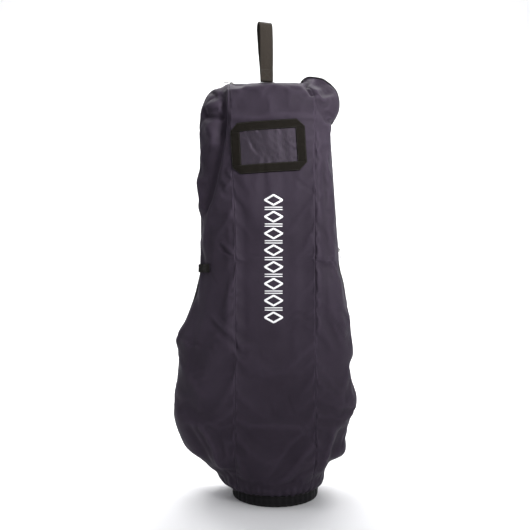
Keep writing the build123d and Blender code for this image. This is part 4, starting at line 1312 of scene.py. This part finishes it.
def make_print():
    low, high, middle, count = 514.0, 890.0, 24.0, 8  # the column's ends and middle, and its lozenges
    wide, tall = 25, 14  # half a lozenge
    pitch = (high - low) / count
    left, right = middle - wide, middle + wide
    shapes = []
    for k in range(count):
        z = low + (k + 0.5) * pitch
        shapes.append(stroke([(middle, z - tall), (right, z), (middle, z + tall), (left, z)], 5.4, True))
        if k < count - 1:
            for reach in (-3.2, 3.2):
                over = z + pitch / 2 + reach
                shapes.append(stroke([(left, over), (right, over)], 2.6))
    points, faces = [], []
    for shape in shapes:
        top, normals = on_front(shape * MM, 0.32 * MM)
        found, parts = slab(top, normals, 0.25 * MM, sum(len(p) for p in points))
        points.append(found)
        faces += parts
    finish_mesh("front_printed_motif", np.concatenate(points), np.concatenate(faces), [PRINT],
                slot="shell_fabric")


make_print()


# ---- Carrying loop ----
LOOP_TALL, LOOP_GAP, WEB = 173.0, 46.0, 2.0
LOOP_TURN = math.radians(10)
LOOP_ACROSS = np.array((math.cos(LOOP_TURN), math.sin(LOOP_TURN), 0.0))
LOOP_BACK = np.array((-math.sin(LOOP_TURN), math.cos(LOOP_TURN), 0.0))
FOOT = (1.1, 2.4)  # the legs' feet: half their distance, and height above the pivot


def cubic(points, count):
    t = np.linspace(0, 1, count)[:, None]
    a, b, c, d = (np.array(p, float) for p in points)
    return (1 - t) ** 3 * a + 3 * (1 - t) ** 2 * t * b + 3 * (1 - t) * t**2 * c + t**3 * d


def lean(height):
    """How far the loop leans to the left, in millimetres, by its share of the loop's height."""
    return -7.5 * height**1.3


def make_loop():
    reach = LOOP_GAP / 2 - WEB / 2
    foot, low = FOOT
    top = LOOP_TALL - WEB / 2 - reach
    arc = [(-reach * math.cos(a), top + reach * math.sin(a)) for a in np.linspace(0, math.pi, 26)]
    front_leg = cubic([(-foot, low), (-foot - 2.0, 50), (-reach, top - 78), (-reach, top)], 40)
    back_leg = cubic([(reach, top), (reach, top - 78), (foot + 2.0, 50), (foot, low)], 40)
    path = np.concatenate([front_leg, arc[1:-1], back_leg])
    path = at_lengths(path, np.linspace(0, lengths(path)[-1], 150))
    share = np.linspace(0, 1, 150)
    height = path[:, 1] / LOOP_TALL
    wave = 1.1 * np.sin(7 * share + 0.6) + 0.5 * np.sin(17 * share)
    turn = np.radians(10 + 5 * (height - 0.4) * np.sin(math.pi * share))
    x, y = lean(height), path[:, 0] + wave * np.sin(math.pi * share) * height
    c, s = np.cos(turn), np.sin(turn)
    placed = np.stack([x * c - y * s, x * s + y * c, path[:, 1]], axis=1) * MM + LOOP_PIVOT
    across = unit(np.stack([c, s, -0.04 * height], axis=1))
    out = unit(np.cross(across, unit(np.gradient(placed, axis=0))))
    swept("carry_loop_webbing", placed, across, out, flat_profile(-19, 19, -1.0, 1.0, 0.7), [LOOP_WEBBING],
          body="carry_loop", slot="webbing", stands_for=["carry_loop"])
    bar = LOOP_PIVOT + np.linspace(-18.5, 18.5, 12)[:, None] * LOOP_ACROSS * MM
    swept("carry_loop_foot_roll", bar, LOOP_BACK, UP, oval(0, 0, 1.9, 1.9, 14), [WEBBING], body="carry_loop",
          slot="webbing")
    box = Stitching()
    corners = [(-15, 6), (15, 6), (15, 34), (-15, 34), (-15, 6), (15, 34), (15, 6), (-15, 34)]
    for a, b in zip(corners, corners[1:]):
        line = []
        for t in np.linspace(0, 1, 16):
            x, z = a[0] + (b[0] - a[0]) * t, a[1] + (b[1] - a[1]) * t
            y = np.interp(z, path[:50, 1], path[:50, 0]) - 1.0
            spot = LOOP_ACROSS * (x + lean(z / LOOP_TALL)) + LOOP_BACK * y + UP * z
            line.append(LOOP_PIVOT + spot * MM)
        box.row(np.array(line), -LOOP_BACK, pitch=3.2, long=2.4, lift=0.1)
    box.made("carry_loop_box_stitch", BLACK_THREAD, body="carry_loop", slot="webbing")


make_loop()


PATCH_LIFT = 1.15 * MM


def make_loop_base():
    """The patch that the loop is sewn down to, on the hood's slope, made black as painted shade for the shadow at the
    loop's foot.
    """
    rows = []
    for b in np.linspace(-13, 13, 9):
        line = []
        for a in np.linspace(-23, 23, 15):
            x, y, _ = LOOP_PIVOT + (LOOP_ACROSS * a + LOOP_BACK * b) * MM
            hit, _, _, _ = FRONT_TREE.ray_cast(Vector((x, y, 1.4)), Vector((0, 0, -1)))
            line.append(np.array(hit) + UP * PATCH_LIFT)
        rows.append(line)
    grid = np.array(rows)
    # painted shade: the patch is made of the black binding cloth so that the loop's foot reads dark, where shade falls
    wall("loop_base_shade_patch", grid, normals_of(grid, True), 0.8 * MM, [BINDING], slot="webbing",
         stands_for=["loop_base_patch"])
    edge = np.concatenate([grid[1, 1:-1], grid[1:-1, -2], grid[-2, -2:0:-1], grid[-2:0:-1, 1]])
    stitches = Stitching()
    stitches.row(edge, (0.0, -0.15, 1.0), lift=0.05)
    stitches.made("loop_base_stitches", BLACK_THREAD, slot="webbing")


make_loop_base()


# ---- Strap tab across the left slit ----
TAB_LOW, TAB_HIGH = 662 * MM, 687 * MM
TAB_MIDDLE = (TAB_LOW + TAB_HIGH) / 2


def tab_line(front, count=90):
    """The left side's section at the tab's height, from Y = 0 towards the front or back."""
    j = int(np.argmin(np.abs(GRID[front][:, 0, 2] - TAB_MIDDLE)))
    line = GRID[front][j, : SEAM_L + 1]
    line = np.concatenate([[line[0] * (1, 0, 1)], line])
    return at_lengths(line, np.linspace(0, 0.1, count))


def make_tab():
    front, back = tab_line(True), tab_line(False)
    path = np.concatenate([front[::-1], back[1:]])
    ahead = np.gradient(path, axis=0)
    out = unit(np.stack([-ahead[:, 1], ahead[:, 0], np.zeros(len(path))], axis=1))
    out *= -1 if out[len(out) // 2, 0] > 0 else 1

    def strip(name, over, low, high, material, body, slot, node_name, pad=0.0, sag=0.0):
        """A strip along the side, as far as a CAD node reaches in Y and between two lifts off the cloth."""
        start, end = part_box(over)
        chosen = (path[:, 1] >= start.y) & (path[:, 1] <= end.y)
        half_high = (TAB_HIGH - TAB_LOW) / 2 / MM - pad
        centre, away = path[chosen].copy(), out[chosen]
        centre[:, 2] = TAB_MIDDLE
        centre += away * (np.exp(-((centre[:, 1] / 0.02) ** 2)) * sag)[:, None]
        profile = flat_profile(-half_high, half_high, low, high, 0.5)
        swept(name, centre, UP, away, profile, [material], body=body, slot=slot, stands_for=[node_name])

    tab, cover = ("strap_tab", "hook_and_loop"), ("cover", "hook_and_loop")
    strip("strap_tab_webbing", "strap_tab", 2.9, 4.9, WEBBING, "strap_tab", "webbing", "strap_tab", sag=0.6 * MM)
    strip("strap_tab_hook_tape", "strap_tab_hooks", 1.75, 2.85, HOOKS, *tab, "strap_tab_hooks", pad=2.0)
    strip("strap_tab_loop_tape", "strap_tab_hooks", 0.2, 1.6, LOOPS, *cover, "strap_tab_loops", pad=2.0)
    strip("strap_tab_anchor_webbing", "strap_tab_anchor", 0.4, 4.8, WEBBING, "cover", "webbing", "strap_tab_anchor")


make_tab()


# ---- Metal parts keep their CAD shape ----
for name in ("top_slider", "top_slider_pull", "side_slider", "side_slider_pull", "zip_end_stops"):
    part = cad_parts[name]
    part.data.materials.clear()
    part.data.materials.append(METAL)


# ---- Floor, light and camera ----
def make_stage():
    mesh = bpy.data.meshes.new("studio_floor")
    reach, start, bend, top, drop = 6, 3.4, 1.4, 7, 0.0006  # the floor bends up to a wall behind
    curve = [(start + bend * math.sin(a), bend - bend * math.cos(a)) for a in np.linspace(0.1, math.pi / 2, 14)]
    profile = [(-reach, 0), (start, 0), *curve, (start + bend, top)]
    rows = [[(x, y, z - drop) for y, z in profile] for x in (-reach, reach)]
    count = len(rows[0])
    faces = [(k, k + count, k + 1 + count, k + 1) for k in range(count - 1)]
    mesh.from_pydata(rows[0] + rows[1], [], faces)
    mesh.polygons.foreach_set("use_smooth", [True] * len(faces))
    floor = add("studio_floor", mesh)
    paper, _, _ = new_material("studio_paper", (0.86, 0.86, 0.87), 0.9)
    mesh.materials.append(paper)


def lamp(name, kind, place, target, power, **values):
    data = bpy.data.lights.new(name, kind)
    data.energy = power
    for key, value in values.items():
        setattr(data, key, value)
    made = add(name, data)
    made.location = place
    made.rotation_euler = (Vector(target) - made.location).to_track_quat("-Z", "Y").to_euler()


AREA_LIGHTS = [
    # (name, place, target, width, height, power)
    ("fill", (0.8, -3.0, 2.1), (0, 0, 1.0), 1.8, 1.8, 9),
    ("top", (0, 0.9, 3.6), (0, 0.3, 0), 6.0, 5.0, 110),
    ("back", (0.6, 2.6, 2.4), (0, 0, 0.8), 1.8, 1.2, 12),
    ("sweep", (0, 1.6, 3.4), (0, 3.2, 0.6), 4.0, 1.0, 230),
]


def make_lights():
    world = bpy.data.worlds.new("studio")
    bpy.context.scene.world = world
    world.use_nodes = True
    background = world.node_tree.nodes["Background"]
    background.inputs["Color"].default_value = (0.95, 0.96, 1, 1)
    background.inputs["Strength"].default_value = 0.42
    lamp("key", "SPOT", (1.75, -2.0, 1.9), (0.06, 0, 1.2), 590, shadow_soft_size=0.45,
         spot_size=math.radians(46), spot_blend=1.0)
    for name, place, target, width, height, power in AREA_LIGHTS:
        lamp(name, "AREA", place, target, power, shape="RECTANGLE", size=width, size_y=height)


def make_camera():
    data = bpy.data.cameras.new("camera")
    data.lens = 47.3
    data.sensor_width = 36
    camera = add("camera", data)
    camera.location = (0, -2.090, 0.684)
    camera.rotation_euler = (math.pi / 2, 0, 0)
    bpy.context.scene.camera = camera


make_stage()
make_lights()
make_camera()
bpy.context.scene.view_settings.view_transform = "Standard"
